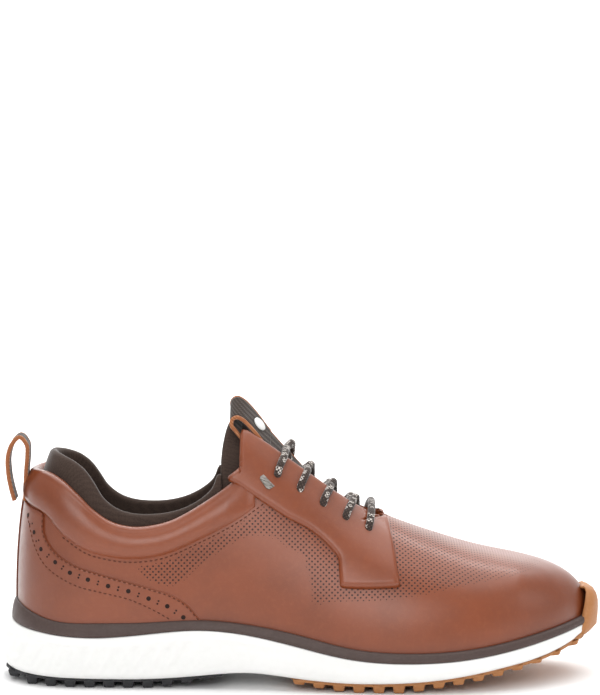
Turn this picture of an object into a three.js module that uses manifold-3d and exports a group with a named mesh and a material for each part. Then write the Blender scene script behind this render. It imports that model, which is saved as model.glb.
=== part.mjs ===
// A right-foot spikeless golf shoe, in millimetres: +X to the toe, +Y to the inner (medial) side, +Z up.
// The upper is built on one surface, the last, and each piece of it is a skin at its own depth below or
// above that surface, cut to its outline. The sole is a stack of slabs inside one plan outline.
import * as THREE from "three";
import { mergeVertices } from "three/addons/utils/BufferGeometryUtils.js";
import Module from "manifold-3d";

const wasm = await Module();
wasm.setup();
const { Manifold } = wasm;

// Driving dimensions.
const SOLE_LENGTH = 302.5; // heel to toe, without the toe bumper
const SOLE_HALF_WIDTH = 52.5; // at the ball, outer side
const FIT = 0.3; // clearance between pieces that touch
const LEATHER = 1.5; // skin of vamp, collar and counter
const OVERLAY = 1; // how far facings and counter stand above the vamp
const STIFFENER = 1; // toe puff and heel counter sheet
const LINING = 1.3;
const SOCK = 3; // stretch collar and tongue
const LACE = 4; // lace diameter
const LACE_ROOM = 0.9; // between the lace and the pieces that it passes, because all are faceted
const TOLERANCE = 0.08; // small facets are joined where the shape changes by less than this
const HEEL_FAN_X = 45; // behind this the sections turn round the heel
const TOE_FAN_X = 262; // in front of this they turn round the toe
const RAND_WALL = 3; // how far the rand's edge stands proud of the upper
const OUTSOLE = 1.6; // rubber under the midsole
const LUG = 4; // longest lug, below the rubber
const LUG_TAPER = 0.7; // a lug's foot over its root
const BOARD = 2;
const FOOTBED = 5;
const BUMPER = 2.5; // toe bumper wall
const EYELET_RADIUS = LACE / 2 + 1.1;
const EYELET_ROWS = 5;
const EYELET_PITCH_X = 11.4; // along the shoe, from row to row
const TOP_EYELET_X = 140.5;
const EYELET_FROM_RIDGE = 27.5; // along the leather, on the outer side
const INNER_EYELET_FROM_RIDGE = 25.5; // and on the steeper inner side
const THROAT_HALF_GAP = 14.5; // half of the gap between the facings
const PLATE = { length: 13, width: 8, thickness: 1 }; // metal round the top eyelet
const STRAP_WIDTH = 20; // tongue loop
const STRAP_THICKNESS = 2;
const STRAP_END_WIDTH = 11; // where it runs under the lace
const HEEL_LOOP_WIDTH = 13;
const SHANK = { from: 84, to: 160, width: 18, thickness: 2 };
const CUSHION = { x: 42, radius: 22, thickness: 6 };

const colours = {
  leather: 0x8a4a2a,
  neoprene: 0x3a302a,
  rand: 0x5c4e4d,
  foam: 0xeeeeec,
  blackRubber: 0x2c2c2e,
  gumRubber: 0xad7c50,
  lace: 0x2a2422,
  metal: 0x9a9692,
  board: 0xc8b898,
  steel: 0x8c9096,
  webbing: 0x35291f,
  label: 0xf2f0ea,
};

const v3 = (x, y, z) => new THREE.Vector3(x, y, z);
const range = (n) => Array.from({ length: n }, (_, i) => i);
const mix = (a, b, t) => a + (b - a) * t;

// A natural cubic through [x, value] pairs, held constant past both ends.
function curveThrough(pairs) {
  const x = pairs.map((p) => p[0]);
  const y = pairs.map((p) => p[1]);
  const n = x.length;
  const m = new Array(n).fill(0);
  const c = new Array(n).fill(0);
  const d = new Array(n).fill(0);
  for (let i = 1; i < n - 1; i++) {
    const before = x[i] - x[i - 1];
    const after = x[i + 1] - x[i];
    const w = 2 * (before + after) - before * c[i - 1];
    c[i] = after / w;
    const bend = 6 * ((y[i + 1] - y[i]) / after - (y[i] - y[i - 1]) / before);
    d[i] = (bend - before * d[i - 1]) / w;
  }
  for (let i = n - 2; i > 0; i--) m[i] = d[i] - c[i] * m[i + 1];
  return (at) => {
    if (at <= x[0]) return y[0];
    if (at >= x[n - 1]) return y[n - 1];
    let i = 0;
    while (x[i + 1] < at) i++;
    const h = x[i + 1] - x[i];
    const a = (x[i + 1] - at) / h;
    const b = 1 - a;
    const bow = ((a ** 3 - a) * m[i] + (b ** 3 - b) * m[i + 1]) * ((h * h) / 6);
    return a * y[i] + b * y[i + 1] + bow;
  };
}

// Lengths along the shoe are given for the named sole length and follow it.
const BASE_LENGTH = 302.5;
const BASE_HALF_WIDTH = 52.5;
const lengthwise = SOLE_LENGTH / BASE_LENGTH;
const widthwise = SOLE_HALF_WIDTH / BASE_HALF_WIDTH;
const along = (pairs) => curveThrough(pairs.map(([x, z]) => [x * lengthwise, z]));
const X = (x) => x * lengthwise;

// Plan outline of the sole, anticlockwise from above: heel, outer side, toe, inner side.
const soleOutline = new THREE.CatmullRomCurve3(
  [
    [0, 0], [8, -22], [28, -35.5], [65, -39.5], [105, -40], [145, -45], [180, -51], [212, -52.5],
    [243, -47.5], [270, -35], [290, -17.5], [302.5, 7], [296.5, 26.5], [281, 38], [257, 46.5],
    [230, 51], [203, 49], [170, 40.5], [130, 35], [90, 36], [50, 38], [22, 32.5], [5, 17.5],
  ].map(([x, y]) => v3(x * lengthwise, y * widthwise, 0)),
  true,
  "centripetal",
);
const OUTLINE_STEPS = 84;
const outlinePoints = range(OUTLINE_STEPS).map((i) => soleOutline.getPoint(i / OUTLINE_STEPS));

// The outline moved outwards by a distance that may change along the shoe.
function outlineAt(distance) {
  return outlinePoints.map((p, i) => {
    const next = outlinePoints[(i + 1) % OUTLINE_STEPS];
    const last = outlinePoints[(i + OUTLINE_STEPS - 1) % OUTLINE_STEPS];
    const out = v3(next.y - last.y, last.x - next.x, 0).normalize();
    return p.clone().addScaledVector(out, distance(p.x));
  });
}

// Heights along the shoe.
const randBottom = along([
  [0, 29.5], [25, 27], [50, 26], [75, 28], [101, 30], [125, 28.2], [150, 23.2], [177, 17.6],
  [205, 15.8], [230, 16.6], [251, 19], [270, 22.2], [290, 26], [303, 28],
]);
const randTop = along([
  [0, 40], [10, 37.6], [25, 34], [50, 33.2], [75, 33.8], [101, 34.9], [125, 33.2], [150, 28.8],
  [177, 22.8], [205, 20.8], [230, 21.4], [251, 23.6], [270, 26.6], [290, 30], [303, 32],
]);
const foamBottom = along([
  [0, 7], [12, 6], [40, 5.2], [75, 5.2], [101, 6.8], [128, 8.8], [150, 6.8], [170, 5.4], [200, 5.6],
  [220, 6.9], [240, 9.4], [258, 12.2], [275, 15.2], [289, 19.4], [303, 25],
]);
const treadCurve = along([
  [0, 4.6], [8, 1.6], [17, 0], [30, -0.6], [54, -0.8], [78, 0], [92, 1.8], [128, 6.4], [150, 3.2],
  [166, 1], [178, 0], [190, -0.3], [204, 0], [218, 1.8], [234, 4], [250, 6.6], [268, 10.4],
  [282, 13.8], [291, 16.4], [303, 22],
]);
const ridgeHeight = along([
  [45, 150], [95, 149], [110, 142], [122, 134.4], [136, 124.4], [148, 115], [160, 105.6],
  [172, 96.2], [186, 87], [197, 81.2], [208, 76.6], [224, 70.8], [240, 65.6], [256, 61.8],
  [272, 58.6], [288, 55.4], [303, 52],
]);
const ridgeSide = along([[45, 0], [120, 0.4], [160, 1], [197, 2.6], [230, 5.4], [262, 7.4], [303, 8]]);
const wallPower = along([[45, 2.5], [62, 2.1], [80, 1.75], [125, 1.6], [160, 1.6], [205, 2], [262, 2.8]]);
const crownPower = along([[45, 1.8], [100, 1.9], [140, 2], [205, 2.2], [262, 3.1]]);
const upperInset = along([
  [0, 9.6], [14, 7.4], [40, 4.6], [100, 4.2], [200, 3.4], [280, 3.2], [303, 2.6],
]);
const upperOutline = outlineAt((x) => -upperInset(x) * (RAND_WALL / 3));

// Where a level ray from a point meets the upper's outline.
function outlineHit(from, direction) {
  let found = null;
  upperOutline.forEach((a, i) => {
    const b = upperOutline[(i + 1) % OUTLINE_STEPS];
    const ex = b.x - a.x;
    const ey = b.y - a.y;
    const cross = direction.x * ey - direction.y * ex;
    if (Math.abs(cross) < 1e-9) return;
    const reach = ((a.x - from.x) * ey - (a.y - from.y) * ex) / cross;
    const share = ((a.x - from.x) * direction.y - (a.y - from.y) * direction.x) / cross;
    if (reach > 1 && share >= -1e-9 && share < 1 && (!found || reach < found.reach))
      found = { reach, point: v3(mix(a.x, b.x, share), mix(a.y, b.y, share), 0) };
  });
  return found.point;
}

// One section of the last: the ridge point it starts from and the point of the outline it ends at.
function section(anchorX, angle, side) {
  const anchor = v3(anchorX, ridgeSide(anchorX), 0);
  const foot = outlineHit(anchor, v3(Math.cos(angle), side * Math.sin(angle), 0));
  return { anchor, foot };
}

// A point of a section: share 1 is at the sole and 0 is at the ridge.
function lastPoint({ anchor, foot }, share) {
  const x = mix(anchor.x, foot.x, share);
  const rise = (1 - share ** crownPower(anchor.x)) ** (1 / wallPower(anchor.x));
  const low = featherHeight(foot.x);
  return v3(x, mix(anchor.y, foot.y, share), low + (ridgeHeight(x) - low) * rise);
}
const featherHeight = (x) => randBottom(x) + FIT;

// Sections: round the heel, along the shoe, round the toe.
const FAN_STEPS = 5;
const MID_STEPS = 15;
const SHARE_STEPS = 7;
const stations = [
  ...range(FAN_STEPS).map((i) => [X(HEEL_FAN_X), Math.PI - (i / FAN_STEPS) * (Math.PI / 2)]),
  ...range(MID_STEPS + 1).map((i) => [X(mix(HEEL_FAN_X, TOE_FAN_X, i / MID_STEPS)), Math.PI / 2]),
  ...range(FAN_STEPS).map((i) => [X(TOE_FAN_X), (1 - (i + 1) / FAN_STEPS) * (Math.PI / 2)]),
];
const shareAt = (j, power) => Math.cos((j / SHARE_STEPS) * (Math.PI / 2)) ** (2 / power);

// The last's outward direction at a share of a section, from two nearby sections and shares.
function outward(anchorX, angle, side, share) {
  if (share < 1e-3) {
    const slope = (ridgeHeight(anchorX + 0.5) - ridgeHeight(anchorX - 0.5)) / 1;
    return v3(-slope, 0, 1).normalize();
  }
  const turning = Math.abs(angle - Math.PI / 2) > 1e-6;
  const step = turning ? 0.01 : 0.5;
  const at = (k, s) =>
    turning
      ? lastPoint(section(anchorX, angle + k * step, side), s)
      : lastPoint(section(anchorX + k * step, angle, side), s);
  const up = lastPoint(section(anchorX, angle, side), Math.max(share - 0.01, 0)).sub(
    lastPoint(section(anchorX, angle, side), Math.min(share + 0.01, 1)),
  );
  const round = at(1, share).sub(at(-1, share));
  const n = new THREE.Vector3().crossVectors(round, up).normalize();
  const away = v3(Math.cos(angle), side * Math.sin(angle), 0.2);
  if (n.dot(away) < 0) n.negate();
  if (Math.abs(Math.sin(angle)) < 1e-6) n.setY(0).normalize();
  return n;
}

// Geometry and solids.
function solidOf(geometry) {
  const bare = new THREE.BufferGeometry();
  bare.setAttribute("position", geometry.getAttribute("position").clone());
  if (geometry.index) bare.setIndex(geometry.index.clone());
  const merged = mergeVertices(bare, 1e-4);
  const index = merged.index.array;
  const faces = [];
  for (let i = 0; i < index.length; i += 3) {
    const [a, b, c] = [index[i], index[i + 1], index[i + 2]];
    if (a !== b && b !== c && a !== c) faces.push(a, b, c);
  }
  const mesh = new wasm.Mesh({
    numProp: 3,
    vertProperties: new Float32Array(merged.attributes.position.array),
    triVerts: new Uint32Array(faces),
  });
  const solid = new Manifold(mesh);
  if (solid.volume() > 0) return solid;
  return new Manifold(
    new wasm.Mesh({
      numProp: 3,
      vertProperties: mesh.vertProperties,
      triVerts: new Uint32Array(faces).reverse(),
    }),
  );
}

// A closed skin through loops of points. Loops that fold flat at the ends need no caps.
function loft(loops, capped = false) {
  const count = loops[0].length;
  const points = loops.flat();
  const faces = [];
  for (let i = 0; i < loops.length - 1; i++)
    for (let j = 0; j < count; j++) {
      const a = i * count + j;
      const b = i * count + ((j + 1) % count);
      faces.push(a, b, b + count, a, b + count, a + count);
    }
  if (capped)
    for (const [i, loop] of [[0, loops[0]], [loops.length - 1, loops.at(-1)]]) {
      const flat = loop.map((p) => new THREE.Vector2(p.x, p.y));
      for (const [a, b, c] of THREE.ShapeUtils.triangulateShape(flat, []))
        faces.push(i * count + a, i * count + (i ? b : c), i * count + (i ? c : b));
    }
  const geometry = new THREE.BufferGeometry().setFromPoints(points).setIndex(faces);
  return solidOf(geometry);
}

const BELOW_FEATHER = 9;
const insides = new Map();
// Everything inside the last surface moved out by a depth, and down past the feather line.
function insideLast(depth, low = BELOW_FEATHER) {
  const key = `${depth} ${low}`;
  if (insides.has(key)) return insides.get(key);
  const loops = stations.map(([anchorX, angle]) => {
    const halves = [-1, 1].map((side) => {
      const cut = section(anchorX, angle, side);
      const rising = range(SHARE_STEPS + 1).map((j) => {
        const share = j === SHARE_STEPS ? 0 : shareAt(j, crownPower(anchorX));
        return lastPoint(cut, share).addScaledVector(outward(anchorX, angle, side, share), depth);
      });
      const foot = rising[0].clone();
      foot.z = featherHeight(cut.foot.x) - low;
      return [foot, ...rising];
    });
    return [...halves[0], ...halves[1].slice(0, -1).reverse()];
  });
  insides.set(key, loft(loops));
  return insides.get(key);
}

// A prism through the shoe from an outline of [x, z] points, between two values of y.
function sidePrism(points, y0 = -100, y1 = 100) {
  const shape = new THREE.Shape(points.map(([x, z]) => new THREE.Vector2(x, z)));
  const geometry = new THREE.ExtrudeGeometry(shape, { depth: y1 - y0, bevelEnabled: false });
  return solidOf(geometry.rotateX(Math.PI / 2).translate(0, y1, 0));
}
// The same from an outline of [x, y] points, seen from above.
function planPrism(points, z0 = -20, z1 = 220) {
  const shape = new THREE.Shape(points.map(([x, y]) => new THREE.Vector2(x, y)));
  const geometry = new THREE.ExtrudeGeometry(shape, { depth: z1 - z0, bevelEnabled: false });
  return solidOf(geometry.translate(0, 0, z0));
}
// What lies between two heights that follow the shoe's length.
const GRID = 8;
function between(low, high, from = -30, to = 340) {
  const inner = range(50).map((i) => -24 + i * GRID).filter((x) => x > from + 1 && x < to - 1);
  const xs = [from, ...inner, to];
  return sidePrism([...xs.map((x) => [x, low(x)]), ...xs.reverse().map((x) => [x, high(x)])]);
}
const box = (x0, x1, y0, y1, z0, z1) => planPrism([[x0, y0], [x1, y0], [x1, y1], [x0, y1]], z0, z1);
const beyond = (side) => (side < 0 ? [-120, -FIT / 2] : [FIT / 2, 120]);

const placed = (points) => points.map(([x, z]) => [X(x), z]);
const smooth = (points, steps) =>
  new THREE.SplineCurve(placed(points).map(([x, z]) => new THREE.Vector2(x, z)))
    .getPoints(steps)
    .map((p) => [p.x, p.y]);
const raisedBy = (line, height) => line.map(([x, z]) => [x, z + height]);
const over = (line) => [...line, [line.at(-1)[0], 200], [line[0][0], 200]];

// An outline made larger, or smaller, on every side.
function grown(points, by) {
  const area = points.reduce((sum, [x, y], i) => {
    const [nx, ny] = points[(i + 1) % points.length];
    return sum + x * ny - nx * y;
  }, 0);
  const reach = by * Math.sign(area);
  return points.map(([x, y], i) => {
    const [ax, ay] = points[(i + points.length - 1) % points.length];
    const [bx, by2] = points[(i + 1) % points.length];
    const n1 = new THREE.Vector2(y - ay, ax - x).normalize();
    const n2 = new THREE.Vector2(by2 - y, x - bx).normalize();
    const out = n1.clone().add(n2).normalize();
    const stretch = reach / Math.max(0.5, out.dot(n1));
    return [x + out.x * stretch, y + out.y * stretch];
  });
}

// Adds a solid as a named mesh.
const shoe = new THREE.Group();
function add(name, solid, colour, roughness = 0.6, metalness = 0) {
  const made = solid.simplify(TOLERANCE).getMesh();
  const positions = new Float32Array(made.numVert * 3);
  for (let i = 0; i < made.numVert; i++)
    positions.set(made.vertProperties.subarray(i * made.numProp, i * made.numProp + 3), i * 3);
  const geometry = new THREE.BufferGeometry()
    .setAttribute("position", new THREE.BufferAttribute(positions, 3))
    .setIndex(new THREE.BufferAttribute(new Uint32Array(made.triVerts), 1));
  const material = new THREE.MeshStandardMaterial({ color: colour, roughness, metalness });
  const mesh = new THREE.Mesh(geometry, material);
  mesh.name = name;
  shoe.add(mesh);
}
// The largest body of a solid: a slanting cut can leave a crumb beside it.
const largest = (solid) => solid.decompose().reduce((a, b) => (a.volume() > b.volume() ? a : b));

// Lines that part the upper, seen from the side.
const topline = smooth(
  [[-10, 107], [17, 107], [26, 107], [33.5, 103.4], [41, 97.4], [49.5, 89.6], [58, 84], [68, 81.4],
   [78, 81.8], [89, 84.6], [105, 93.4], [118.7, 103.2], [126, 110.4], [133, 114.4], [141, 115.4]],
  28,
);
const sockTopline = smooth(
  [[-10, 118.5], [24, 118.5], [33, 116.8], [40, 113.6], [46, 108.4], [50, 102.4], [54, 96],
   [60, 91], [67, 88.4], [76, 87.6], [86, 88.4], [95, 91], [103, 95], [108, 101], [112, 112]],
  28,
);
const collarSeam = smooth(
  [[-10, 92.5], [12, 90], [25, 86], [33.5, 77.6], [46, 69.6], [58, 66.4], [68, 65.4], [84, 67.2],
   [104.8, 76], [121, 84.6], [136, 96]],
  22,
);
const counterOutline = [
  ...smooth(
    [[25, 85.6], [24.4, 80], [25.6, 73.6], [30, 67.6], [39, 62.2], [52, 57.8], [73, 52], [88, 47.2],
     [96.4, 42], [104, 33], [107, 14]],
    18,
  ),
  ...placed([[-20, 14], [-20, 93], [12, 89.6]]),
];
const facingOutline = placed([
  [118.4, 104.6], [126.8, 98.8], [139, 91], [152, 83.4], [160, 78.6], [166, 73.8], [170.4, 69.6],
  [172.8, 65], [173.6, 59], [174, 53], [187, 52.4], [200.8, 53], [200.2, 60], [199.4, 67],
  [197.6, 73], [195.5, 79], [193, 90], [180, 120], [150, 140], [118, 140],
]);
const stiffHeelOutline = placed([
  [-20, 10], [-20, 78], [16, 78], [22, 71], [28, 63.5], [38, 57], [60, 50], [78, 44], [88, 10],
]);
const tongueEdge = placed([[100, 86], [112, 84], [140, 76], [175, 63], [216, 46]]);
const topOfTongue = placed([[100, 112], [137, 112], [137, 200], [100, 200]]);

// The throat between the facings, seen from above, with a round end at the toe side.
const throatFrom = X(112);
const throatTo = X(197);
function throatPlan(spare = 0) {
  const half = (x) => {
    const near = Math.min(1, (throatTo - x) / X(14));
    return THROAT_HALF_GAP * Math.sqrt(Math.max(0.04, 1 - (1 - near) ** 2)) + spare;
  };
  const xs = [...range(5).map((i) => mix(throatFrom, X(183), i / 4)), X(188), X(192), X(195), throatTo];
  const ys = (side) => xs.map((x) => [x + (x === throatTo ? spare : 0), ridgeSide(x) + side * half(x)]);
  return [...ys(-1), ...ys(1).reverse()];
}
const throat = planPrism(throatPlan(), 60);
const mouth = sidePrism(over(topline)).add(throat);
const aboveFeather = between(featherHeight, () => 200);
const skin = (outer, inner) =>
  insideLast(outer).subtract(insideLast(inner, BELOW_FEATHER + 3)).intersect(aboveFeather);
const onSide = (side) => box(-40, 340, ...beyond(side), -20, 220);

// Depths of the layers under the last surface.
const stiffenerTop = -LEATHER - FIT;
const liningTop = stiffenerTop - STIFFENER - FIT;
const liningBottom = liningTop - LINING;
const laceInside = -LEATHER - LACE_ROOM - LACE / 2;
const sockTop = laceInside - LACE / 2 - FIT * 4;
const sockBottom = sockTop - SOCK;
const laceOutside = OVERLAY + LACE_ROOM + LACE / 2;

// A point over the leather, by place along the shoe and distance from the ridge along the surface.
function overLeather(x, side, fromRidge, depth) {
  const cut = section(x, Math.PI / 2, side);
  let share = 0;
  let walked = 0;
  let before = lastPoint(cut, 0);
  while (walked < fromRidge) {
    share += 0.004;
    const next = lastPoint(cut, share);
    walked += next.distanceTo(before);
    before = next;
  }
  return before.addScaledVector(outward(x, Math.PI / 2, side, share), depth);
}
function normalAt(x, side, fromRidge) {
  return overLeather(x, side, fromRidge, 1).sub(overLeather(x, side, fromRidge, 0)).normalize();
}
const eyeletReach = (side) => (side < 0 ? EYELET_FROM_RIDGE : INNER_EYELET_FROM_RIDGE) * widthwise;
const eyeletX = (row) => X(TOP_EYELET_X) + row * EYELET_PITCH_X;

// A solid cylinder between two points.
function rod(from, to, radius, sides = 16) {
  const geometry = new THREE.CylinderGeometry(radius, radius, from.distanceTo(to), sides);
  geometry.rotateX(Math.PI / 2).lookAt(to.clone().sub(from));
  const middle = from.clone().lerp(to, 0.5);
  return solidOf(geometry.translate(middle.x, middle.y, middle.z));
}
const eyeletHoles = (side) =>
  Manifold.union(
    range(EYELET_ROWS).map((row) => {
      const x = eyeletX(row);
      const out = overLeather(x, side, eyeletReach(side), 6);
      return rod(overLeather(x, side, eyeletReach(side), -5), out, EYELET_RADIUS, 12);
    }),
  );

// Upper.
const leather = skin(0, -LEATHER).subtract(mouth);
const raised = skin(OVERLAY, -LEATHER).subtract(mouth);
const facings = sidePrism(grown(facingOutline, FIT));
const backStrip = (gap) => box(-20, 40, -8 - gap, 8 + gap, 0, 68 + gap);

const vampAndQuarters = leather
  .subtract(sidePrism(over(raisedBy(collarSeam, -FIT * 1.4))))
  .subtract(sidePrism(grown(counterOutline, FIT)))
  .subtract(facings);
add("vamp", largest(vampAndQuarters), colours.leather);
add(
  "collar_panel",
  largest(leather.intersect(sidePrism(over(collarSeam))).subtract(facings)),
  colours.leather,
);
for (const [side, name] of [[-1, "lateral"], [1, "medial"]]) {
  const counter = raised.intersect(sidePrism(counterOutline)).intersect(onSide(side));
  add(`foxing_${name}`, largest(counter.subtract(backStrip(FIT))), colours.leather);
  const facing = raised.intersect(sidePrism(facingOutline)).intersect(onSide(side));
  add(`eyestay_${name}`, largest(facing.subtract(eyeletHoles(side))), colours.leather);
}
add("backstay", largest(raised.intersect(backStrip(0))), colours.webbing, 0.8);

const stiffSkin = skin(stiffenerTop, stiffenerTop - STIFFENER);
add("heel_counter", largest(stiffSkin.intersect(sidePrism(stiffHeelOutline))), colours.board, 0.8);
const toePuffRegion = sidePrism(placed([[252, 0], [244, 90], [330, 90], [330, 0]]));
add("toe_puff", largest(stiffSkin.intersect(toePuffRegion)), colours.board, 0.8);

const lining = skin(liningTop, liningBottom)
  .subtract(sidePrism(over(raisedBy(collarSeam, -FIT * 3))))
  .subtract(sidePrism(grown(facingOutline, -2 * FIT)))
  .subtract(planPrism(throatPlan(2), 60));
add("lining", largest(lining), colours.neoprene, 0.9);

const foamRegion = [...raisedBy(collarSeam, FIT * 3), ...raisedBy(topline, -FIT * 5).reverse()];
const foam = skin(stiffenerTop, sockTop + FIT)
  .intersect(sidePrism(foamRegion))
  .intersect(box(-20, X(111.5), -100, 100, 0, 200));
add("collar_foam", largest(foam), colours.neoprene, 0.9);

const sock = skin(sockTop, sockBottom);
const ring = [...raisedBy(collarSeam, FIT * 3), ...sockTopline.slice().reverse()];
add(
  "sock_collar",
  largest(sock.intersect(sidePrism(ring)).intersect(box(-20, X(110), -100, 100, 0, 200))),
  colours.neoprene,
  0.9,
);

// Tongue: its top folds forward about a line across the ridge.
const tongueWhole = sock
  .intersect(sidePrism(over(tongueEdge)))
  .intersect(box(X(110) + FIT, X(214), -100, 100, 0, 200));
const tongueRoot = skin(liningBottom - FIT, sockBottom)
  .intersect(sidePrism(over(raisedBy(tongueEdge, 6))))
  .intersect(box(X(205), X(214), -100, 100, 0, 200));
add(
  "tongue",
  largest(tongueWhole.add(tongueRoot).subtract(sidePrism(grown(topOfTongue, FIT)))),
  colours.neoprene,
  0.9,
);
add("tongue_top", largest(tongueWhole.intersect(sidePrism(topOfTongue))), colours.neoprene, 0.9);

// A strap, drawn from the side as a line with a thickness.
function strap(points, steps, y, width, thickness) {
  const curve = new THREE.CatmullRomCurve3(points.map(([x, z]) => v3(x, 0, z)), false, "centripetal");
  const line = curve.getSpacedPoints(steps);
  const edge = (reach) =>
    line.map((p, i) => {
      const t = line[Math.min(i + 1, steps)].clone().sub(line[Math.max(i - 1, 0)]).normalize();
      return new THREE.Vector2(p.x - t.z * reach, p.z + t.x * reach);
    });
  const shape = new THREE.Shape([...edge(thickness / 2), ...edge(-thickness / 2).reverse()]);
  const geometry = new THREE.ExtrudeGeometry(shape, { depth: width, bevelEnabled: false });
  return solidOf(geometry.rotateX(Math.PI / 2).translate(0, y + width / 2, 0));
}
// Height of the tongue's outer face on the ridge, and of the middle of a strap that lies on it.
const onTongue = (x, height) => {
  const slope = (ridgeHeight(x + 1) - ridgeHeight(x - 1)) / 2;
  return ridgeHeight(x) + (sockTop + height) * Math.hypot(1, slope);
};
const strapMiddle = (x) => onTongue(x, FIT + STRAP_THICKNESS / 2);
const strapSide = ridgeSide(X(128));
const loopFrom = X(136.2);
const loopRoute = [
  [loopFrom, strapMiddle(loopFrom)],
  [X(133.6), strapMiddle(X(133.6))],
  [X(131.8), strapMiddle(X(131.8)) + 2.2],
  [X(130.6), 127.6],
  [X(127.6), 133],
  [X(124), 138],
  [X(120.6), 141],
  [X(117.4), 139],
  [X(116.8), 134.6],
  [X(118.2), 130.4],
];
add("tongue_loop", strap(loopRoute, 26, strapSide, STRAP_WIDTH, STRAP_THICKNESS), colours.webbing, 0.8);
const strapLow = sockTop + FIT;
const anchor = insideLast(strapLow + STRAP_THICKNESS).subtract(insideLast(strapLow, BELOW_FEATHER + 3));
const strapHalf = (STRAP_END_WIDTH / 2) * widthwise;
const anchorFrom = eyeletX(0) - 1.1;
add(
  "tongue_loop_anchor",
  anchor.intersect(
    box(anchorFrom, anchorFrom + 16.6 - LACE, strapSide - strapHalf, strapSide + strapHalf, 90, 200),
  ),
  colours.webbing,
);
const [badgeFrom, badgeTo] = [loopRoute[3], loopRoute[5]].map(([x, z]) => v3(x, 0, z));
const badgeRun = badgeTo.clone().sub(badgeFrom).normalize();
const badgeLift = STRAP_THICKNESS / 2 + FIT + 0.75;
const badgeRoute = [0.18, 0.5, 0.82].map((share) => {
  const p = badgeFrom.clone().lerp(badgeTo, share);
  return [p.x + badgeRun.z * badgeLift, p.z - badgeRun.x * badgeLift];
});
add("tongue_badge", strap(badgeRoute, 4, strapSide, 7.6, 0.8), colours.label, 0.5);

// Heel pull loop, which stands behind the collar on its two sewn ends.
const heelBack = (height) => {
  const cut = section(X(HEEL_FAN_X), Math.PI, -1);
  let share = 1;
  while (share > 0.3 && lastPoint(cut, share).z < height) share -= 0.002;
  return lastPoint(cut, share).x;
};
const againstHeel = (height) => heelBack(height) - OVERLAY - STRAP_THICKNESS / 2 - FIT * 2;
const heelLoopRoute = [
  [againstHeel(92), 92],
  [againstHeel(97) - 0.3, 98],
  [againstHeel(104) - 0.2, 106],
  [againstHeel(105) + 0.8, 112.4],
  [againstHeel(105) + 0.8, 118.4],
  [againstHeel(105) - 3.4, 122.6],
  [againstHeel(105) - 7.8, 119],
  [againstHeel(105) - 8.8, 112],
  [againstHeel(101) - 6.2, 103],
  [againstHeel(94) - 3.4, 96],
  [againstHeel(92) - STRAP_THICKNESS + 0.2, 92],
];
const sewnEnd = [
  [againstHeel(89.6) - 1, 89.6],
  [againstHeel(95) - 1, 95],
];
const heelLoop = strap(heelLoopRoute, 36, 0, HEEL_LOOP_WIDTH, STRAP_THICKNESS);
add(
  "heel_loop",
  heelLoop.add(strap(sewnEnd, 2, 0, HEEL_LOOP_WIDTH, STRAP_THICKNESS * 2)),
  colours.webbing,
  0.8,
);

// Metal plates round the top eyelets.
for (const [side, name] of [[-1, "lateral"], [1, "medial"]]) {
  const shape = new THREE.Shape();
  const [halfLength, halfWidth] = [PLATE.length / 2, PLATE.width / 2];
  shape.absarc(halfLength - halfWidth, 0, halfWidth, -Math.PI / 2, Math.PI / 2);
  shape.lineTo(-halfLength + 1, halfWidth);
  shape.lineTo(-halfLength, halfWidth - 1);
  shape.lineTo(-halfLength, -halfWidth + 1);
  shape.lineTo(-halfLength + 1, -halfWidth);
  const hole = new THREE.Path().absarc(halfLength - halfWidth, 0, EYELET_RADIUS, 0, Math.PI * 2, true);
  shape.holes.push(hole);
  const flat = { depth: PLATE.thickness, bevelEnabled: false, curveSegments: 8 };
  const geometry = new THREE.ExtrudeGeometry(shape, flat).translate(halfWidth - halfLength, 0, 0);
  const n = normalAt(eyeletX(0), side, eyeletReach(side));
  const lengthways = v3(0.8, 0, 0.6).projectOnPlane(n).normalize();
  const across = new THREE.Vector3().crossVectors(n, lengthways);
  const place = new THREE.Matrix4().makeBasis(lengthways, across, n);
  place.setPosition(overLeather(eyeletX(0), side, eyeletReach(side), OVERLAY + FIT));
  add(`eyelet_plate_${name}`, solidOf(geometry.applyMatrix4(place)), colours.metal, 0.35, 0.9);
}

// Lace: each strand comes from under one facing, crosses the tongue and goes down through the other.
const edgeUnder = THROAT_HALF_GAP - 1.5;
const edgeOver = THROAT_HALF_GAP + 1.2;
const crossingX = (row) => eyeletX(row) + EYELET_PITCH_X / 2;
const overPlate = (row) => (row === 0 ? PLATE.thickness + FIT : 0);
function throughHole(row, side) {
  const [x, reach] = [eyeletX(row), eyeletReach(side)];
  const middle = (OVERLAY - LEATHER + overPlate(row)) / 2;
  return [
    overLeather(x, side, reach - 2.6, laceOutside + overPlate(row)),
    overLeather(x, side, reach + 0.2, middle),
    overLeather(x, side, reach - 2.6, laceInside),
  ];
}
// From under the facing on one side, over the tongue and over the facing on the other.
function crossing(row, from, overOther) {
  const strapLift = row === 0 ? STRAP_THICKNESS + FIT * 2 : 0;
  const lowest = sockTop + FIT * 4 + LACE / 2 + strapLift;
  const middle = overOther ? lowest + LACE + LACE_ROOM : lowest;
  const shoulder = overOther ? middle - 1.8 : middle;
  const drift = EYELET_PITCH_X / 2 / EYELET_FROM_RIDGE;
  const near = 6;
  return [
    overLeather(crossingX(row) + drift * edgeUnder, from, edgeUnder, laceInside),
    overLeather(crossingX(row) + drift * near, from, near, shoulder),
    overLeather(crossingX(row), from, 0, middle),
    overLeather(crossingX(row) - drift * near, -from, near, shoulder),
    overLeather(crossingX(row) - drift * edgeOver, -from, edgeOver, laceOutside),
  ];
}
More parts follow.
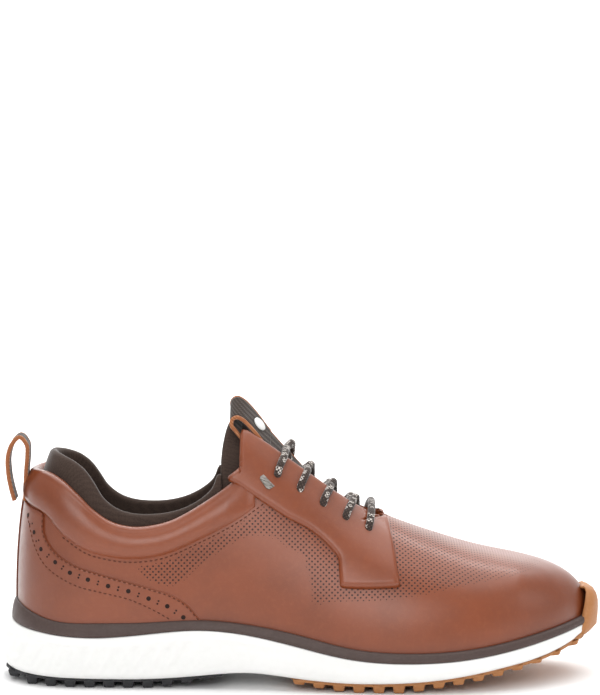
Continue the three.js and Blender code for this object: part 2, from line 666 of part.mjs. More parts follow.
// A loose end goes down through its plate and lies under the facing, away from the throat.
const tailReach = (side) => eyeletReach(side) + (8.5 - LACE / 2) * widthwise;
function tail(side) {
  const [x, reach] = [eyeletX(0), eyeletReach(side)];
  return [
    overLeather(x, side, reach - 2.6, laceOutside + overPlate(0)),
    overLeather(x, side, reach - 0.3, OVERLAY + overPlate(0)),
    overLeather(x, side, reach - 0.7, -LEATHER),
    overLeather(x + 1, side, reach + 1.6, laceInside),
    overLeather(x + 5.5, side, reach + 5.6, laceInside),
    overLeather(x + 12, side, tailReach(side), laceInside),
    overLeather(x + 20, side, tailReach(side), laceInside),
  ];
}
const bottomRow = EYELET_ROWS - 1;
// From a loose end down the zigzag to the bottom row, as the list of points on the way.
function zigzag(startSide, overOther) {
  const points = tail(startSide).reverse();
  let side = startSide;
  for (const row of range(bottomRow)) {
    points.push(...crossing(row, -side, overOther(row)).reverse());
    side = -side;
    points.push(...throughHole(row + 1, side).reverse());
  }
  return { points, side };
}
const lateral = zigzag(-1, (row) => row % 2 === 0);
const medial = zigzag(1, (row) => row % 2 === 1);
const barX = eyeletX(bottomRow) + 0.5;
const bar = [
  overLeather(barX, lateral.side, edgeOver, laceOutside + 0.3),
  overLeather(barX + 0.6, lateral.side, 0, laceOutside - 1),
  overLeather(barX, medial.side, edgeOver, laceOutside + 0.3),
];
const lacePath = [...lateral.points, ...bar, ...medial.points.reverse()];
function circle(radius, sides) {
  const turn = (i) => (i / sides) * Math.PI * 2;
  return new THREE.Shape(
    range(sides).map((i) => new THREE.Vector2(Math.cos(turn(i)) * radius, Math.sin(turn(i)) * radius)),
  );
}
const laceCurve = new THREE.CatmullRomCurve3(lacePath, false, "centripetal");
const laceTube = new THREE.ExtrudeGeometry(circle(LACE / 2, 8), { steps: 116, extrudePath: laceCurve });
add("lace", solidOf(laceTube), colours.lace, 0.9);
for (const [side, name] of [[-1, "lateral"], [1, "medial"]]) {
  const at = (distance) =>
    overLeather(eyeletX(0) + 20 + distance, side, tailReach(side), laceInside);
  add(`aglet_${name}`, rod(at(FIT), at(12), LACE / 2 - 0.2, 10), colours.metal, 0.4, 0.2);
}

// Sole. A wall is a list of loops with heights, closed above and below, that slabs are cut from.
function wall(levels) {
  const loops = levels.map(([distance, height]) =>
    outlineAt(distance).map((p) => v3(p.x, p.y, height(p.x))),
  );
  return loft(loops, true);
}
const share = (t) => (x) => mix(foamBottom(x), randBottom(x), t);
const foamTopInset = (x) => Math.max(0.2, upperInset(x) - RAND_WALL - 1);
const foamWall = (extra) => [
  [() => -3 + extra, () => -40],
  [() => -3 + extra, share(0)],
  [() => -0.8 + extra, share(0.16)],
  [() => extra, share(0.4)],
  [(x) => -0.5 * foamTopInset(x) + extra, share(0.8)],
  [(x) => -foamTopInset(x) + extra, share(1)],
  [(x) => -foamTopInset(x) + extra, () => 120],
];
const randFoot = (x) => -Math.max(0, upperInset(x) - RAND_WALL - 1);
const randEdge = (x) => -(upperInset(x) - RAND_WALL + 0.8);
const randWall = (extra) => [
  [(x) => randFoot(x) + extra, () => -40],
  [(x) => randFoot(x) + extra, randBottom],
  [(x) => (randFoot(x) + randEdge(x)) / 2 + 0.4 + extra, (x) => mix(randBottom(x), randTop(x), 0.55)],
  [(x) => randEdge(x) + extra, randTop],
  [(x) => randEdge(x) + extra, () => 120],
];
const shankPlan = (gap) =>
  box(X(SHANK.from) - gap, X(SHANK.to) + gap, -SHANK.width / 2 - gap, SHANK.width / 2 + gap, -20, 100);
const cushionPlan = (gap) => rod(v3(X(CUSHION.x), 0, -20), v3(X(CUSHION.x), 0, 100), CUSHION.radius + gap, 24);
const underBoard = (depth) => between((x) => randBottom(x) - depth, (x) => randBottom(x) + 5);
const topOfFoam = between(() => -40, randBottom);

const upperAndRoom = insideLast(FIT, 30).add(
  insideLast(OVERLAY + FIT, 30).intersect(sidePrism(grown(counterOutline, FIT * 2))),
);
const foamSlab = between(foamBottom, randBottom);
const midsole = wall(foamWall(0))
  .intersect(foamSlab)
  .subtract(shankPlan(FIT).intersect(underBoard(SHANK.thickness + FIT)))
  .subtract(cushionPlan(FIT).intersect(underBoard(CUSHION.thickness + FIT)));
add("midsole", largest(midsole), colours.foam, 0.7);
add(
  "shank",
  shankPlan(0).intersect(underBoard(SHANK.thickness)).intersect(topOfFoam),
  colours.steel,
  0.4,
  0.9,
);
add(
  "heel_cushion",
  cushionPlan(0).intersect(underBoard(CUSHION.thickness)).intersect(topOfFoam),
  0x7fa0a8,
  0.5,
);
const rand = wall(randWall(0))
  .intersect(between((x) => randBottom(x) + FIT, randTop))
  .subtract(upperAndRoom);
add("midsole_rand", largest(rand), colours.rand, 0.7);

// Inside.
const floor = (low, high) =>
  between((x) => featherHeight(x) + low, (x) => featherHeight(x) + high);
const inner = insideLast(liningBottom - FIT);
add("insole_board", largest(inner.intersect(floor(0, BOARD))), colours.board, 0.8);
const bedDepth = liningBottom - FIT * 2;
const bed = insideLast(bedDepth).intersect(floor(BOARD + FIT, BOARD + FIT + FOOTBED));
add("footbed", largest(bed), 0x6a5a4c, 0.9);

// Outsoles: a plate under the foam with rows of lugs, cut to the ground line.
const ground = (x) => Math.max(0, treadCurve(x));
const plateTop = (x) => foamBottom(x) - FIT;
const plateBottom = (x) => plateTop(x) - OUTSOLE;
function edgeOfSole(x, side) {
  const from = v3(x, 0, 0);
  let reach = null;
  outlinePoints.forEach((a, i) => {
    const b = outlinePoints[(i + 1) % OUTLINE_STEPS];
    const at = (x - a.x) / (b.x - a.x);
    if (at < 0 || at >= 1) return;
    const y = mix(a.y, b.y, at);
    if ((y - from.y) * side > 0) reach = y;
  });
  return reach;
}
function lugs({ first, pitch, rows, length, width, apart, edge }) {
  const solids = [];
  for (const row of range(rows)) {
    const x = X(first + row * pitch);
    const outer = edgeOfSole(x, -1) + edge;
    const inner = edgeOfSole(x, 1) - edge;
    const count = Math.max(2, Math.round((inner - outer) / apart) + 1);
    for (const i of range(count)) {
      const y = mix(outer, inner, i / (count - 1));
      const ring = (scale, z) =>
        [[-1, -1], [1, -1], [1, 1], [-1, 1]].map(([a, b]) =>
          v3(x + (a * length * scale) / 2, y + (b * width * scale) / 2, z),
        );
      solids.push(loft([ring(1, plateBottom(x) + 1), ring(LUG_TAPER, plateBottom(x) - LUG)], true));
    }
  }
  return Manifold.union(solids);
}
const aboveGround = between(ground, (x) => plateTop(x) - 0.2);
const plateWall = wall([
  [() => -4.4, () => -40],
  [() => -4.4, () => 120],
]);
const plate = (from, to) => plateWall.intersect(between(plateBottom, plateTop, X(from), X(to)));
const heelLugs = lugs({ first: 8, pitch: 9.75, rows: 10, length: 5.6, width: 10, apart: 26, edge: 9.6 });
add(
  "heel_outsole",
  largest(plate(3, 116).add(heelLugs.intersect(aboveGround))),
  colours.blackRubber,
  0.8,
);
const frontLugs = lugs({ first: 156, pitch: 12.2, rows: 12, length: 6.4, width: 11, apart: 25, edge: 10 });
const bumperOutside = wall([
  [() => 0.2, () => 12],
  [() => 1.6, () => 22],
  [() => BUMPER, () => 31],
  [() => BUMPER, () => 38],
  [() => BUMPER - 1.2, () => 42.6],
  [() => -0.4, () => 45],
]);
const bumperRegion = sidePrism(
  placed([[283, 11], [291, 16], [294.5, 22], [296.6, 28], [297.4, 34], [299.6, 46], [330, 46], [330, 11]]),
);
const bumper = bumperOutside
  .intersect(bumperRegion)
  .intersect(between(plateBottom, () => 60))
  .subtract(insideLast(FIT, 2))
  .subtract(wall(randWall(FIT)).intersect(between((x) => randBottom(x) - 1, (x) => randTop(x) + FIT)))
  .subtract(wall(foamWall(FIT)).intersect(between((x) => foamBottom(x) - FIT, (x) => randBottom(x) + 2)));
add(
  "forefoot_outsole",
  largest(plate(146, 320).add(frontLugs.intersect(aboveGround)).add(bumper)),
  colours.gumRubber,
  0.75,
);

// The finished shoe stands on z = 0 with its box centred over the origin.
const bounds = new THREE.Box3().setFromObject(shoe);
const centre = bounds.getCenter(new THREE.Vector3());
shoe.position.set(-centre.x, -centre.y, -bounds.min.z);

export default shoe;
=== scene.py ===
import math

import bmesh
import bpy
import numpy as np
from mathutils import Matrix, Vector


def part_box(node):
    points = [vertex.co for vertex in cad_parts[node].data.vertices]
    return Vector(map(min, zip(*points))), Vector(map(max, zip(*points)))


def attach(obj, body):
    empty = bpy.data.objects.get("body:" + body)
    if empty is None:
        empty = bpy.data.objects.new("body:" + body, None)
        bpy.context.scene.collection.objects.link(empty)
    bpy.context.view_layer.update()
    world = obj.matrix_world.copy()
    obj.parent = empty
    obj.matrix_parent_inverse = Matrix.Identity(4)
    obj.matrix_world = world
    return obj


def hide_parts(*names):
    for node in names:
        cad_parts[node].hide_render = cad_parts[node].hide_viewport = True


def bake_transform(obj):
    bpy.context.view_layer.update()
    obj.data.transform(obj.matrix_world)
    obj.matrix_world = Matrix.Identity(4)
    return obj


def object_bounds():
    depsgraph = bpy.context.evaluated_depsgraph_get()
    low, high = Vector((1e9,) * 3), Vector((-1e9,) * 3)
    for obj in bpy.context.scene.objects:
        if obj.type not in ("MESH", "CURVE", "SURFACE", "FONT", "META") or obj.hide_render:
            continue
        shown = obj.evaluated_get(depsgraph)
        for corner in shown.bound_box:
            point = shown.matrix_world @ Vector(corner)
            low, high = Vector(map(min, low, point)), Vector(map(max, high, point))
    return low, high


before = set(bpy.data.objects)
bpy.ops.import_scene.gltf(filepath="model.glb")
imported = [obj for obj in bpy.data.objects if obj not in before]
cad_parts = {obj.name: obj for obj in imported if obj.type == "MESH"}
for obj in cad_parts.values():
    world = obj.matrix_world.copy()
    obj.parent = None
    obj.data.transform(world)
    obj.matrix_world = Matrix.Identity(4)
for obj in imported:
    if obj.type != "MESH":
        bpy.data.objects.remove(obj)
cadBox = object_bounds()
print("frame loaded")

# Shapes are worked out in millimetres from the back of the heel, as the shoe was lasted, and then placed.
lateral, medial = -1, 1


def naturalCubic(pairs):
    x = np.array([p[0] for p in pairs], float)
    y = np.array([p[1] for p in pairs], float)
    n = len(x)
    a = np.zeros((n, n))
    b = np.zeros(n)
    a[0, 0] = a[-1, -1] = 1
    for i in range(1, n - 1):
        a[i, i - 1: i + 2] = x[i] - x[i - 1], 2 * (x[i + 1] - x[i - 1]), x[i + 1] - x[i]
        b[i] = 6 * ((y[i + 1] - y[i]) / (x[i + 1] - x[i]) - (y[i] - y[i - 1]) / (x[i] - x[i - 1]))
    m = np.linalg.solve(a, b)

    def value(at):
        at = np.clip(np.asarray(at, float), x[0], x[-1])
        i = np.clip(np.searchsorted(x, at) - 1, 0, n - 2)
        h = x[i + 1] - x[i]
        s = (x[i + 1] - at) / h
        t = 1 - s
        return s * y[i] + t * y[i + 1] + ((s ** 3 - s) * m[i] + (t ** 3 - t) * m[i + 1]) * h * h / 6

    return value


last = {
    "outline": [(0, 0), (8, -22), (28, -35.5), (65, -39.5), (105, -40), (145, -45), (180, -51), (212, -52.5),
                (243, -47.5), (270, -35), (290, -17.5), (302.5, 7), (296.5, 26.5), (281, 38), (257, 46.5),
                (230, 51), (203, 49), (170, 40.5), (130, 35), (90, 36), (50, 38), (22, 32.5), (5, 17.5)],
    "inset": [(0, 9.6), (14, 7.4), (40, 4.6), (100, 4.2), (200, 3.4), (280, 3.2), (303, 2.6)],
    "ridge": [(45, 150), (95, 149), (110, 142), (122, 134.4), (136, 124.4), (148, 115), (160, 105.6),
              (172, 96.2), (186, 87), (197, 81.2), (208, 76.6), (224, 70.8), (240, 65.6), (256, 61.8),
              (272, 58.6), (288, 55.4), (303, 52)],
    "ridgeSide": [(45, 0), (120, 0.4), (160, 1), (197, 2.6), (230, 5.4), (262, 7.4), (303, 8)],
    "wallPower": [(45, 2.5), (62, 2.1), (80, 1.75), (125, 1.6), (160, 1.6), (205, 2), (262, 2.8)],
    "crownPower": [(45, 1.8), (100, 1.9), (140, 2), (205, 2.2), (262, 3.1)],
    "heelFan": 45, "toeFan": 262, "heelBack": -10, "toeTip": 325,
}
sole = {
    "foamBottom": [(0, 7), (12, 6), (40, 5.2), (75, 5.2), (101, 6.8), (128, 8.8), (150, 6.8), (170, 5.4),
                   (200, 5.6), (220, 6.9), (240, 9.4), (258, 12.2), (275, 15.2), (289, 19.4), (303, 25)],
    "randBottom": [(0, 29.5), (25, 27), (50, 26), (75, 28), (101, 30), (125, 28.2), (150, 23.2), (177, 17.6),
                   (205, 15.8), (230, 16.6), (251, 19), (270, 22.2), (290, 26), (303, 28)],
    "randTop": [(0, 40), (10, 37.6), (25, 34), (50, 33.2), (75, 33.8), (101, 34.9), (125, 33.2), (150, 28.8),
                (177, 22.8), (205, 20.8), (230, 21.4), (251, 23.6), (270, 26.6), (290, 30), (303, 32)],
    "tread": [(0, 4.6), (8, 1.6), (17, 0), (30, -0.6), (54, -0.8), (78, 0), (92, 1.8), (128, 6.4), (150, 3.2),
              (166, 1), (178, 0), (190, -0.3), (204, 0), (218, 1.8), (234, 4), (250, 6.6), (268, 10.4),
              (282, 13.8), (291, 16.4), (303, 22)],
    "gap": 0.3,
}
insetAt = naturalCubic(last["inset"])
ridgeAt = naturalCubic(last["ridge"])
ridgeSideAt = naturalCubic(last["ridgeSide"])
wallPowerAt = naturalCubic(last["wallPower"])
crownPowerAt = naturalCubic(last["crownPower"])
foamBottomAt = naturalCubic(sole["foamBottom"])
randBottomAt = naturalCubic(sole["randBottom"])
randTopAt = naturalCubic(sole["randTop"])
treadAt = naturalCubic(sole["tread"])


def lengthAlong(line):  # how far along a line each of its points is
    return np.concatenate([[0], np.cumsum(np.linalg.norm(np.diff(line, axis=0), axis=1))])


def closedCurve(points, steps):  # a centripetal curve through every point, closed on itself
    p = np.array(points, float)
    n = len(p)
    made = []
    for i in range(n):
        p0, p1, p2, p3 = (p[(i + k) % n] for k in (-1, 0, 1, 2))
        d0, d1, d2 = (math.sqrt(np.linalg.norm(b - a)) for a, b in ((p0, p1), (p1, p2), (p2, p3)))
        t1 = ((p1 - p0) / d0 - (p2 - p0) / (d0 + d1) + (p2 - p1) / d1) * d1
        t2 = ((p2 - p1) / d1 - (p3 - p1) / (d1 + d2) + (p3 - p2) / d2) * d1
        for t in np.arange(steps) / steps:
            made.append(p1 + t1 * t + (-3 * p1 + 3 * p2 - 2 * t1 - t2) * t ** 2
                        + (2 * p1 - 2 * p2 + t1 + t2) * t ** 3)
    return np.array(made)


outline = closedCurve(last["outline"], 24)
soleBox = [corner * 1000 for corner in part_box("midsole")]
heelX = soleBox[0].x - outline[:, 0].min()
middleY = (soleBox[0].y + soleBox[1].y - outline[:, 1].min() - outline[:, 1].max()) / 2


def placed(p):  # from the last's millimetres to the frame's metres
    return Vector((p[0] + heelX, p[1] + middleY, p[2])) / 1000


ahead, behind = np.roll(outline, -1, 0), np.roll(outline, 1, 0)
outlineOut = np.stack([(ahead - behind)[:, 1], (behind - ahead)[:, 0]], 1)
outlineOut /= np.linalg.norm(outlineOut, axis=1)[:, None]
upperOutline = outline - outlineOut * insetAt(outline[:, 0])[:, None]


def outlineHit(x, y, dx, dy):  # where a level ray meets the upper's outline
    a, b = upperOutline, np.roll(upperOutline, -1, 0)
    e = b - a
    cross = dx * e[:, 1] - dy * e[:, 0]
    cross[np.abs(cross) < 1e-9] = 1e-9
    reach = ((a[:, 0] - x) * e[:, 1] - (a[:, 1] - y) * e[:, 0]) / cross
    share = ((a[:, 0] - x) * dy - (a[:, 1] - y) * dx) / cross
    good = (reach > 1) & (share >= -1e-6) & (share <= 1 + 1e-6)
    i = np.flatnonzero(good)[np.argmin(reach[good])]
    return a[i] + e[i] * share[i]


def stationOf(u):  # the ridge point and the angle of the section at u, which runs from heel to toe
    if u < last["heelFan"]:
        turn = (last["heelFan"] - u) / (last["heelFan"] - last["heelBack"])
        return last["heelFan"], math.pi / 2 * (1 + turn)
    if u > last["toeFan"]:
        turn = (u - last["toeFan"]) / (last["toeTip"] - last["toeFan"])
        return last["toeFan"], math.pi / 2 * (1 - turn)
    return u, math.pi / 2


uTable = np.linspace(last["heelBack"], last["toeTip"], 671)
anchors = np.array([[stationOf(u)[0], float(ridgeSideAt(stationOf(u)[0]))] for u in uTable])
feet = {side: np.array([outlineHit(*anchors[i], math.cos(stationOf(u)[1]), side * math.sin(stationOf(u)[1]))
                        for i, u in enumerate(uTable)]) for side in (lateral, medial)}


def basePoint(u, share, side):
    ax, ay = (np.interp(u, uTable, anchors[:, k]) for k in (0, 1))
    fx, fy = (np.interp(u, uTable, feet[side][:, k]) for k in (0, 1))
    x = ax + (fx - ax) * share
    rise = np.clip(1 - np.clip(share, 0, 1) ** crownPowerAt(ax), 0, 1) ** (1 / wallPowerAt(ax))
    low = randBottomAt(fx) + sole["gap"]
    return np.stack([x, ay + (fy - ay) * share, low + (ridgeAt(x) - low) * rise], -1)


def normalOf(u, share, side):
    s = np.clip(share, 0.03, 0.992)
    along = basePoint(u + 0.4, s, side) - basePoint(u - 0.4, s, side)
    down = basePoint(u, s + 0.006, side) - basePoint(u, s - 0.006, side)
    n = np.cross(along, down) * side
    n = n / np.linalg.norm(n, axis=-1)[..., None]
    return n


def onLast(u, share, side, depth=0.0):  # a point of the upper's surface, moved out by depth
    u, share = np.broadcast_arrays(np.asarray(u, float), np.asarray(share, float))
    p = basePoint(u, share, side)
    n = normalOf(u, share, side)
    top = np.clip(1 - share / 0.03, 0, 1)[..., None]
    flat = np.stack([n[..., 0], n[..., 1] * 0, n[..., 2]], -1)
    flat /= np.linalg.norm(flat, axis=-1)[..., None]
    n = n * (1 - top) + flat * top
    return p + n * np.asarray(depth, float)[..., None]


def shareOf(u, z, side):  # the share of a section at which the surface is at height z
    u, z = np.broadcast_arrays(np.asarray(u, float), np.asarray(z, float))
    low, high = np.zeros(u.shape), np.ones(u.shape)
    for _ in range(26):
        mid = (low + high) / 2
        above = basePoint(u, mid, side)[..., 2] > z
        low, high = np.where(above, mid, low), np.where(above, high, mid)
    return (low + high) / 2


def stationAt(x, z, side, depth=0.0):  # the station whose surface is at x when it is at height z
    x, z = np.broadcast_arrays(np.asarray(x, float), np.asarray(z, float))
    low, high = np.full(x.shape, float(last["heelBack"])), np.full(x.shape, float(last["toeTip"]))
    for _ in range(26):
        mid = (low + high) / 2
        behindIt = onLast(mid, shareOf(mid, z, side), side, depth)[..., 0] < x
        low, high = np.where(behindIt, mid, low), np.where(behindIt, high, mid)
    return (low + high) / 2


def ridgeWalk(u, side, steps=240):  # lengths from the ridge down the section at u, and their shares
    share = np.linspace(0, 1, steps)
    return lengthAlong(basePoint(np.full(steps, float(u)), share, side)), share


def fromRidge(u, side, distance, depth):  # by distance from the ridge along the surface
    return onLast(u, np.interp(distance, *ridgeWalk(u, side)), side, depth)


def smoothLine(points, count):  # points spread evenly by length on a smooth line through the given ones
    p = np.array(points, float)
    p = np.vstack([2 * p[0] - p[1], p, 2 * p[-1] - p[-2]])
    made = []
    for i in range(1, len(p) - 2):
        d0, d1, d2 = (max(1e-4, math.sqrt(np.linalg.norm(b - a)))
                      for a, b in ((p[i - 1], p[i]), (p[i], p[i + 1]), (p[i + 1], p[i + 2])))
        t1 = ((p[i] - p[i - 1]) / d0 - (p[i + 1] - p[i - 1]) / (d0 + d1) + (p[i + 1] - p[i]) / d1) * d1
        t2 = ((p[i + 1] - p[i]) / d1 - (p[i + 2] - p[i]) / (d1 + d2) + (p[i + 2] - p[i + 1]) / d2) * d1
        for t in np.arange(16) / 16:
            made.append(p[i] + t1 * t + (-3 * p[i] + 3 * p[i + 1] - 2 * t1 - t2) * t ** 2
                        + (2 * p[i] - 2 * p[i + 1] + t1 + t2) * t ** 3)
    made = np.array(made + [p[-2]])
    walked = lengthAlong(made)
    at = np.linspace(0, walked[-1], count)
    return np.stack([np.interp(at, walked, made[:, k]) for k in range(made.shape[1])], 1)


def sideLine(points, side, count, drop=0.0, depth=0.0):  # an [x, z] line as stations and heights
    line = smoothLine(points, count)
    z = line[:, 1] - drop
    return np.stack([stationAt(line[:, 0], z, side, depth), z], 1)


# mesh helpers
def newPiece(name, mesh, materials, body="shoe"):
    mesh.to_mesh(data := bpy.data.meshes.new(name))
    mesh.free()
    piece = bpy.data.objects.new(name, data)
    bpy.context.scene.collection.objects.link(piece)
    for material in materials:
        data.materials.append(material)
    for face in data.polygons:
        face.use_smooth = True
    if body:
        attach(piece, body)
    return piece


def gridMesh(points, uv=None, mask=None):  # a create_grid sheet moved onto a table of points
    rows, cols = points.shape[:2]
    mesh = bmesh.new()
    punched = mesh.verts.layers.float.new("punched")
    bmesh.ops.create_grid(mesh, x_segments=cols - 1, y_segments=rows - 1, size=1)
    mesh.verts.ensure_lookup_table()
    layer = mesh.loops.layers.uv.new("UVMap")
    for v in mesh.verts:
        i = round((v.co.y + 1) / 2 * (rows - 1))
        j = round((v.co.x + 1) / 2 * (cols - 1))
        v.index = i * cols + j
    if uv is not None:
        for f in mesh.faces:
            for loop in f.loops:
                i, j = divmod(loop.vert.index, cols)
                loop[layer].uv = uv[i, j]
    for v in mesh.verts:
        i, j = divmod(v.index, cols)
        v.co = placed(points[i, j])
        v[punched] = 0 if mask is None else mask[i, j]
    return mesh


def weld(mesh, distance=0.02):
    bmesh.ops.remove_doubles(mesh, verts=mesh.verts, dist=distance / 1000)


def joined(meshes):
    whole = meshes[0]
    for other in meshes[1:]:
        other.to_mesh(data := bpy.data.meshes.new("part"))
        other.free()
        whole.from_mesh(data)
        bpy.data.meshes.remove(data)
    return whole


def outward(mesh):
    bmesh.ops.recalc_face_normals(mesh, faces=mesh.faces)


def wholeOf(halves):  # the lateral and medial halves of a piece, joined at the middle
    mesh = joined(halves)
    weld(mesh, 0.05)
    outward(mesh)
    return mesh


def addModifier(piece, kind, **settings):
    made = piece.modifiers.new(kind.title(), kind)
    for key, value in settings.items():
        setattr(made, key, value)


# materials
def srgb(r, g, b):
    return tuple(((c / 255 + 0.055) / 1.055) ** 2.4 if c > 10 else c / 3294.6 for c in (r, g, b)) + (1,)


class Nodes:  # a material's node tree with short ways to add to it
    def __init__(self, name, roughness=0.5, metallic=0.0, coat=0.0, sheen=0.0, specular=0.5):
        self.material = bpy.data.materials.new(name)
        self.material.use_nodes = True
        self.tree = self.material.node_tree
        self.shader = self.tree.nodes["Principled BSDF"]
        values = {"Roughness": roughness, "Metallic": metallic, "Coat Weight": coat, "Sheen Weight": sheen,
                  "Specular IOR Level": specular, "Coat Roughness": 0.3, "Sheen Roughness": 0.4}
        for key, value in values.items():
            self.shader.inputs[key].default_value = value
        self.coords = self.tree.nodes.new("ShaderNodeTexCoord")
        self.place = self.coords.outputs["Object"]
        self.heights = []

    def add(self, kind, inputs=(), **settings):
        node = self.tree.nodes.new("ShaderNode" + kind)
        for key, value in settings.items():
            setattr(node, key, value)
        for key, value in dict(inputs).items():
            self.feed(node.inputs[key], value)
        return node

    def feed(self, socket, value):
        if isinstance(value, bpy.types.NodeSocket):
            self.tree.links.new(value, socket)
        else:
            socket.default_value = value

    def sum(self, operation, a, b=0.0, c=0.0, clamp=False):
        node = self.add("Math", {0: a, 1: b, 2: c}, operation=operation, use_clamp=clamp)
        return node.outputs[0]

    def noise(self, scale, detail=3.0, roughness=0.55, place=None, distortion=0.0):
        return self.add("TexNoise", {"Vector": place or self.place, "Scale": scale, "Detail": detail,
                                     "Roughness": roughness, "Distortion": distortion}).outputs["Fac"]

    def cells(self, scale, place=None, feature="F1", randomness=1.0):
        node = self.add("TexVoronoi", {"Vector": place or self.place, "Scale": scale,
                                       "Randomness": randomness}, feature=feature)
        return node.outputs["Distance"]

    def spread(self, value, low, high, to=(0.0, 1.0)):
        node = self.add("MapRange", {"Value": value, "From Min": low, "From Max": high,
                                     "To Min": to[0], "To Max": to[1]})
        return node.outputs["Result"]

    def blend(self, a, b, share, mode="MIX"):
        node = self.add("Mix", data_type="RGBA", blend_type=mode)
        self.feed(node.inputs[0], share)
        self.feed(node.inputs[6], a)
        self.feed(node.inputs[7], b)
        return node.outputs[2]

    def bump(self, height, depth, strength=1.0):
        before = self.heights[-1].outputs[0] if self.heights else None
        node = self.add("Bump", {"Height": height, "Distance": depth / 1000, "Strength": strength})
        if before:
            self.feed(node.inputs["Normal"], before)
        self.heights.append(node)
        self.feed(self.shader.inputs["Normal"], node.outputs[0])

    def colour(self, value):
        self.feed(self.shader.inputs["Base Color"], value)
        return self.material


leatherFinish = {"tone": srgb(130, 62, 28), "deep": srgb(94, 42, 18), "light": srgb(156, 88, 50),
                 "grain": 1500, "roughness": 0.36}


def leather(name, perforated=False, darker=0.0):
    n = Nodes(name, roughness=leatherFinish["roughness"], coat=0.3, specular=0.5)
    clouds = n.spread(n.noise(38, 5), 0.42, 0.72, (0, 0.32))
    mottled = n.blend(leatherFinish["tone"], leatherFinish["deep"], clouds)
    pores = n.cells(leatherFinish["grain"])
    colour = n.blend(mottled, leatherFinish["light"], n.spread(n.noise(420, 4), 0.5, 0.8, (0, 0.16)))
    parts = n.add("SeparateXYZ", {"Vector": n.place}).outputs
    toe = n.spread(parts["X"], 0.098, 0.15)  # darker at the toe and round the heel: partly burnished leather, partly painted shade
    heel = n.spread(parts["X"], -0.1, -0.15)
    # painted shade mixed with burnished leather, darkening the toe and heel
    burnishAndShade = n.sum("MULTIPLY", n.sum("ADD", toe, heel, clamp=True), 0.6 + darker)
    colour = n.blend(colour, leatherFinish["deep"], burnishAndShade)
    n.feed(n.shader.inputs["Roughness"], n.spread(n.noise(260, 4), 0.3, 0.75, (0.3, 0.44)))
    n.bump(pores, 0.05, 0.5)
    n.bump(n.noise(900, 5, 0.65), 0.07, 0.45)
    n.bump(n.noise(70, 3), 0.5, 0.18)
    if perforated:
        uv = n.add("SeparateXYZ", {"Vector": n.coords.outputs["UV"]}).outputs
        pitch = 2.83  # two lattices, so neighbours are 2 mm apart
        spots = []
        for shift in (0.0, 0.5):
            cellX = n.sum("SUBTRACT", n.sum("FRACT", n.sum("MULTIPLY_ADD", uv["X"], 1 / pitch, shift)), 0.5)
            cellY = n.sum("SUBTRACT", n.sum("FRACT", n.sum("MULTIPLY_ADD", uv["Y"], 1 / pitch, shift)), 0.5)
            square = n.sum("ADD", n.sum("MULTIPLY", cellX, cellX), n.sum("MULTIPLY", cellY, cellY))
            spots.append(n.sum("MULTIPLY", n.sum("SQRT", square), pitch))
        nearest = n.sum("MINIMUM", spots[0], spots[1])
        size = n.add("Attribute", attribute_name="punched").outputs["Fac"]
        radius = n.sum("MULTIPLY", size, 0.47)
        edge = n.sum("SUBTRACT", nearest, radius)
        hole = n.add("MapRange", {"Value": edge, "From Min": 0.07, "From Max": -0.07,
                                  "To Min": 0.0, "To Max": 1.0}).outputs["Result"]
        hole = n.sum("MULTIPLY", hole, n.sum("GREATER_THAN", size, 0.25))
        # the holes are painted dark: partly the dark lining seen through them, partly painted shade inside them
        colour = n.blend(colour, srgb(52, 22, 12), hole)
        n.bump(n.sum("SUBTRACT", 1.0, hole), 0.45, 0.9)
        n.feed(n.shader.inputs["Roughness"], n.sum("MULTIPLY_ADD", hole, 0.45, 0.38))
    return n.colour(colour)


def knit(name, tone, light, threads=620, sheen=0.35):
    n = Nodes(name, roughness=0.85, sheen=sheen, specular=0.25)
    ribs = n.cells(threads * 2.2, feature="F1", randomness=0.35)
    colour = n.blend(tone, light, n.spread(ribs, 0.15, 0.6, (0, 0.55)))
    colour = n.blend(colour, light, n.spread(n.noise(60, 3), 0.45, 0.75, (0, 0.35)))
    n.bump(ribs, 0.12, 0.6)
    n.bump(n.noise(300, 3), 0.15, 0.3)
    return n.colour(colour)


def webbing(name, tone, light, across="Y"):
    n = Nodes(name, roughness=0.8, sheen=0.25, specular=0.3)
    turned = n.add("Mapping", {"Vector": n.place, "Rotation": (0, math.radians(45), 0)}).outputs[0]
    warp = n.add("TexWave", {"Vector": n.place, "Scale": 330.0, "Distortion": 0.4, "Detail": 1.0},
                 bands_direction=across).outputs["Fac"]
    weft = n.add("TexWave", {"Vector": turned, "Scale": 240.0, "Distortion": 0.4, "Detail": 1.0},
                 bands_direction="X").outputs["Fac"]
    cloth = n.sum("MULTIPLY", warp, weft)
    n.bump(cloth, 0.2, 0.7)
    return n.colour(n.blend(tone, light, n.spread(cloth, 0.1, 0.9, (0, 0.8))))


def moulded(name, tone, light, roughness=0.6, speck=500, mottling=0.25, bump=0.05):
    n = Nodes(name, roughness=roughness, specular=0.4)
    colour = n.blend(tone, light, n.spread(n.noise(speck, 4), 0.45, 0.7, (0, mottling)))
    colour = n.blend(colour, light, n.spread(n.noise(35, 3), 0.45, 0.8, (0, mottling)))
    uneven = n.spread(n.noise(180, 3), 0.3, 0.7, (roughness - 0.07, roughness + 0.08))
    n.feed(n.shader.inputs["Roughness"], uneven)
    n.bump(n.noise(speck * 2.2, 3), bump, 0.6)
    return n.colour(colour)


def metal(name, tone, light, roughness=0.35):
    n = Nodes(name, roughness=roughness, metallic=0.95)
    stretched = n.add("Mapping", {"Vector": n.place, "Scale": (250, 2400, 900)}).outputs[0]
    brushed = n.add("TexNoise", {"Vector": stretched, "Scale": 1.0, "Detail": 3.0}).outputs["Fac"]
    n.feed(n.shader.inputs["Roughness"], n.spread(brushed, 0.3, 0.7, (roughness - 0.1, roughness + 0.12)))
    n.bump(brushed, 0.02, 0.5)
    return n.colour(n.blend(tone, light, n.spread(brushed, 0.35, 0.7)))


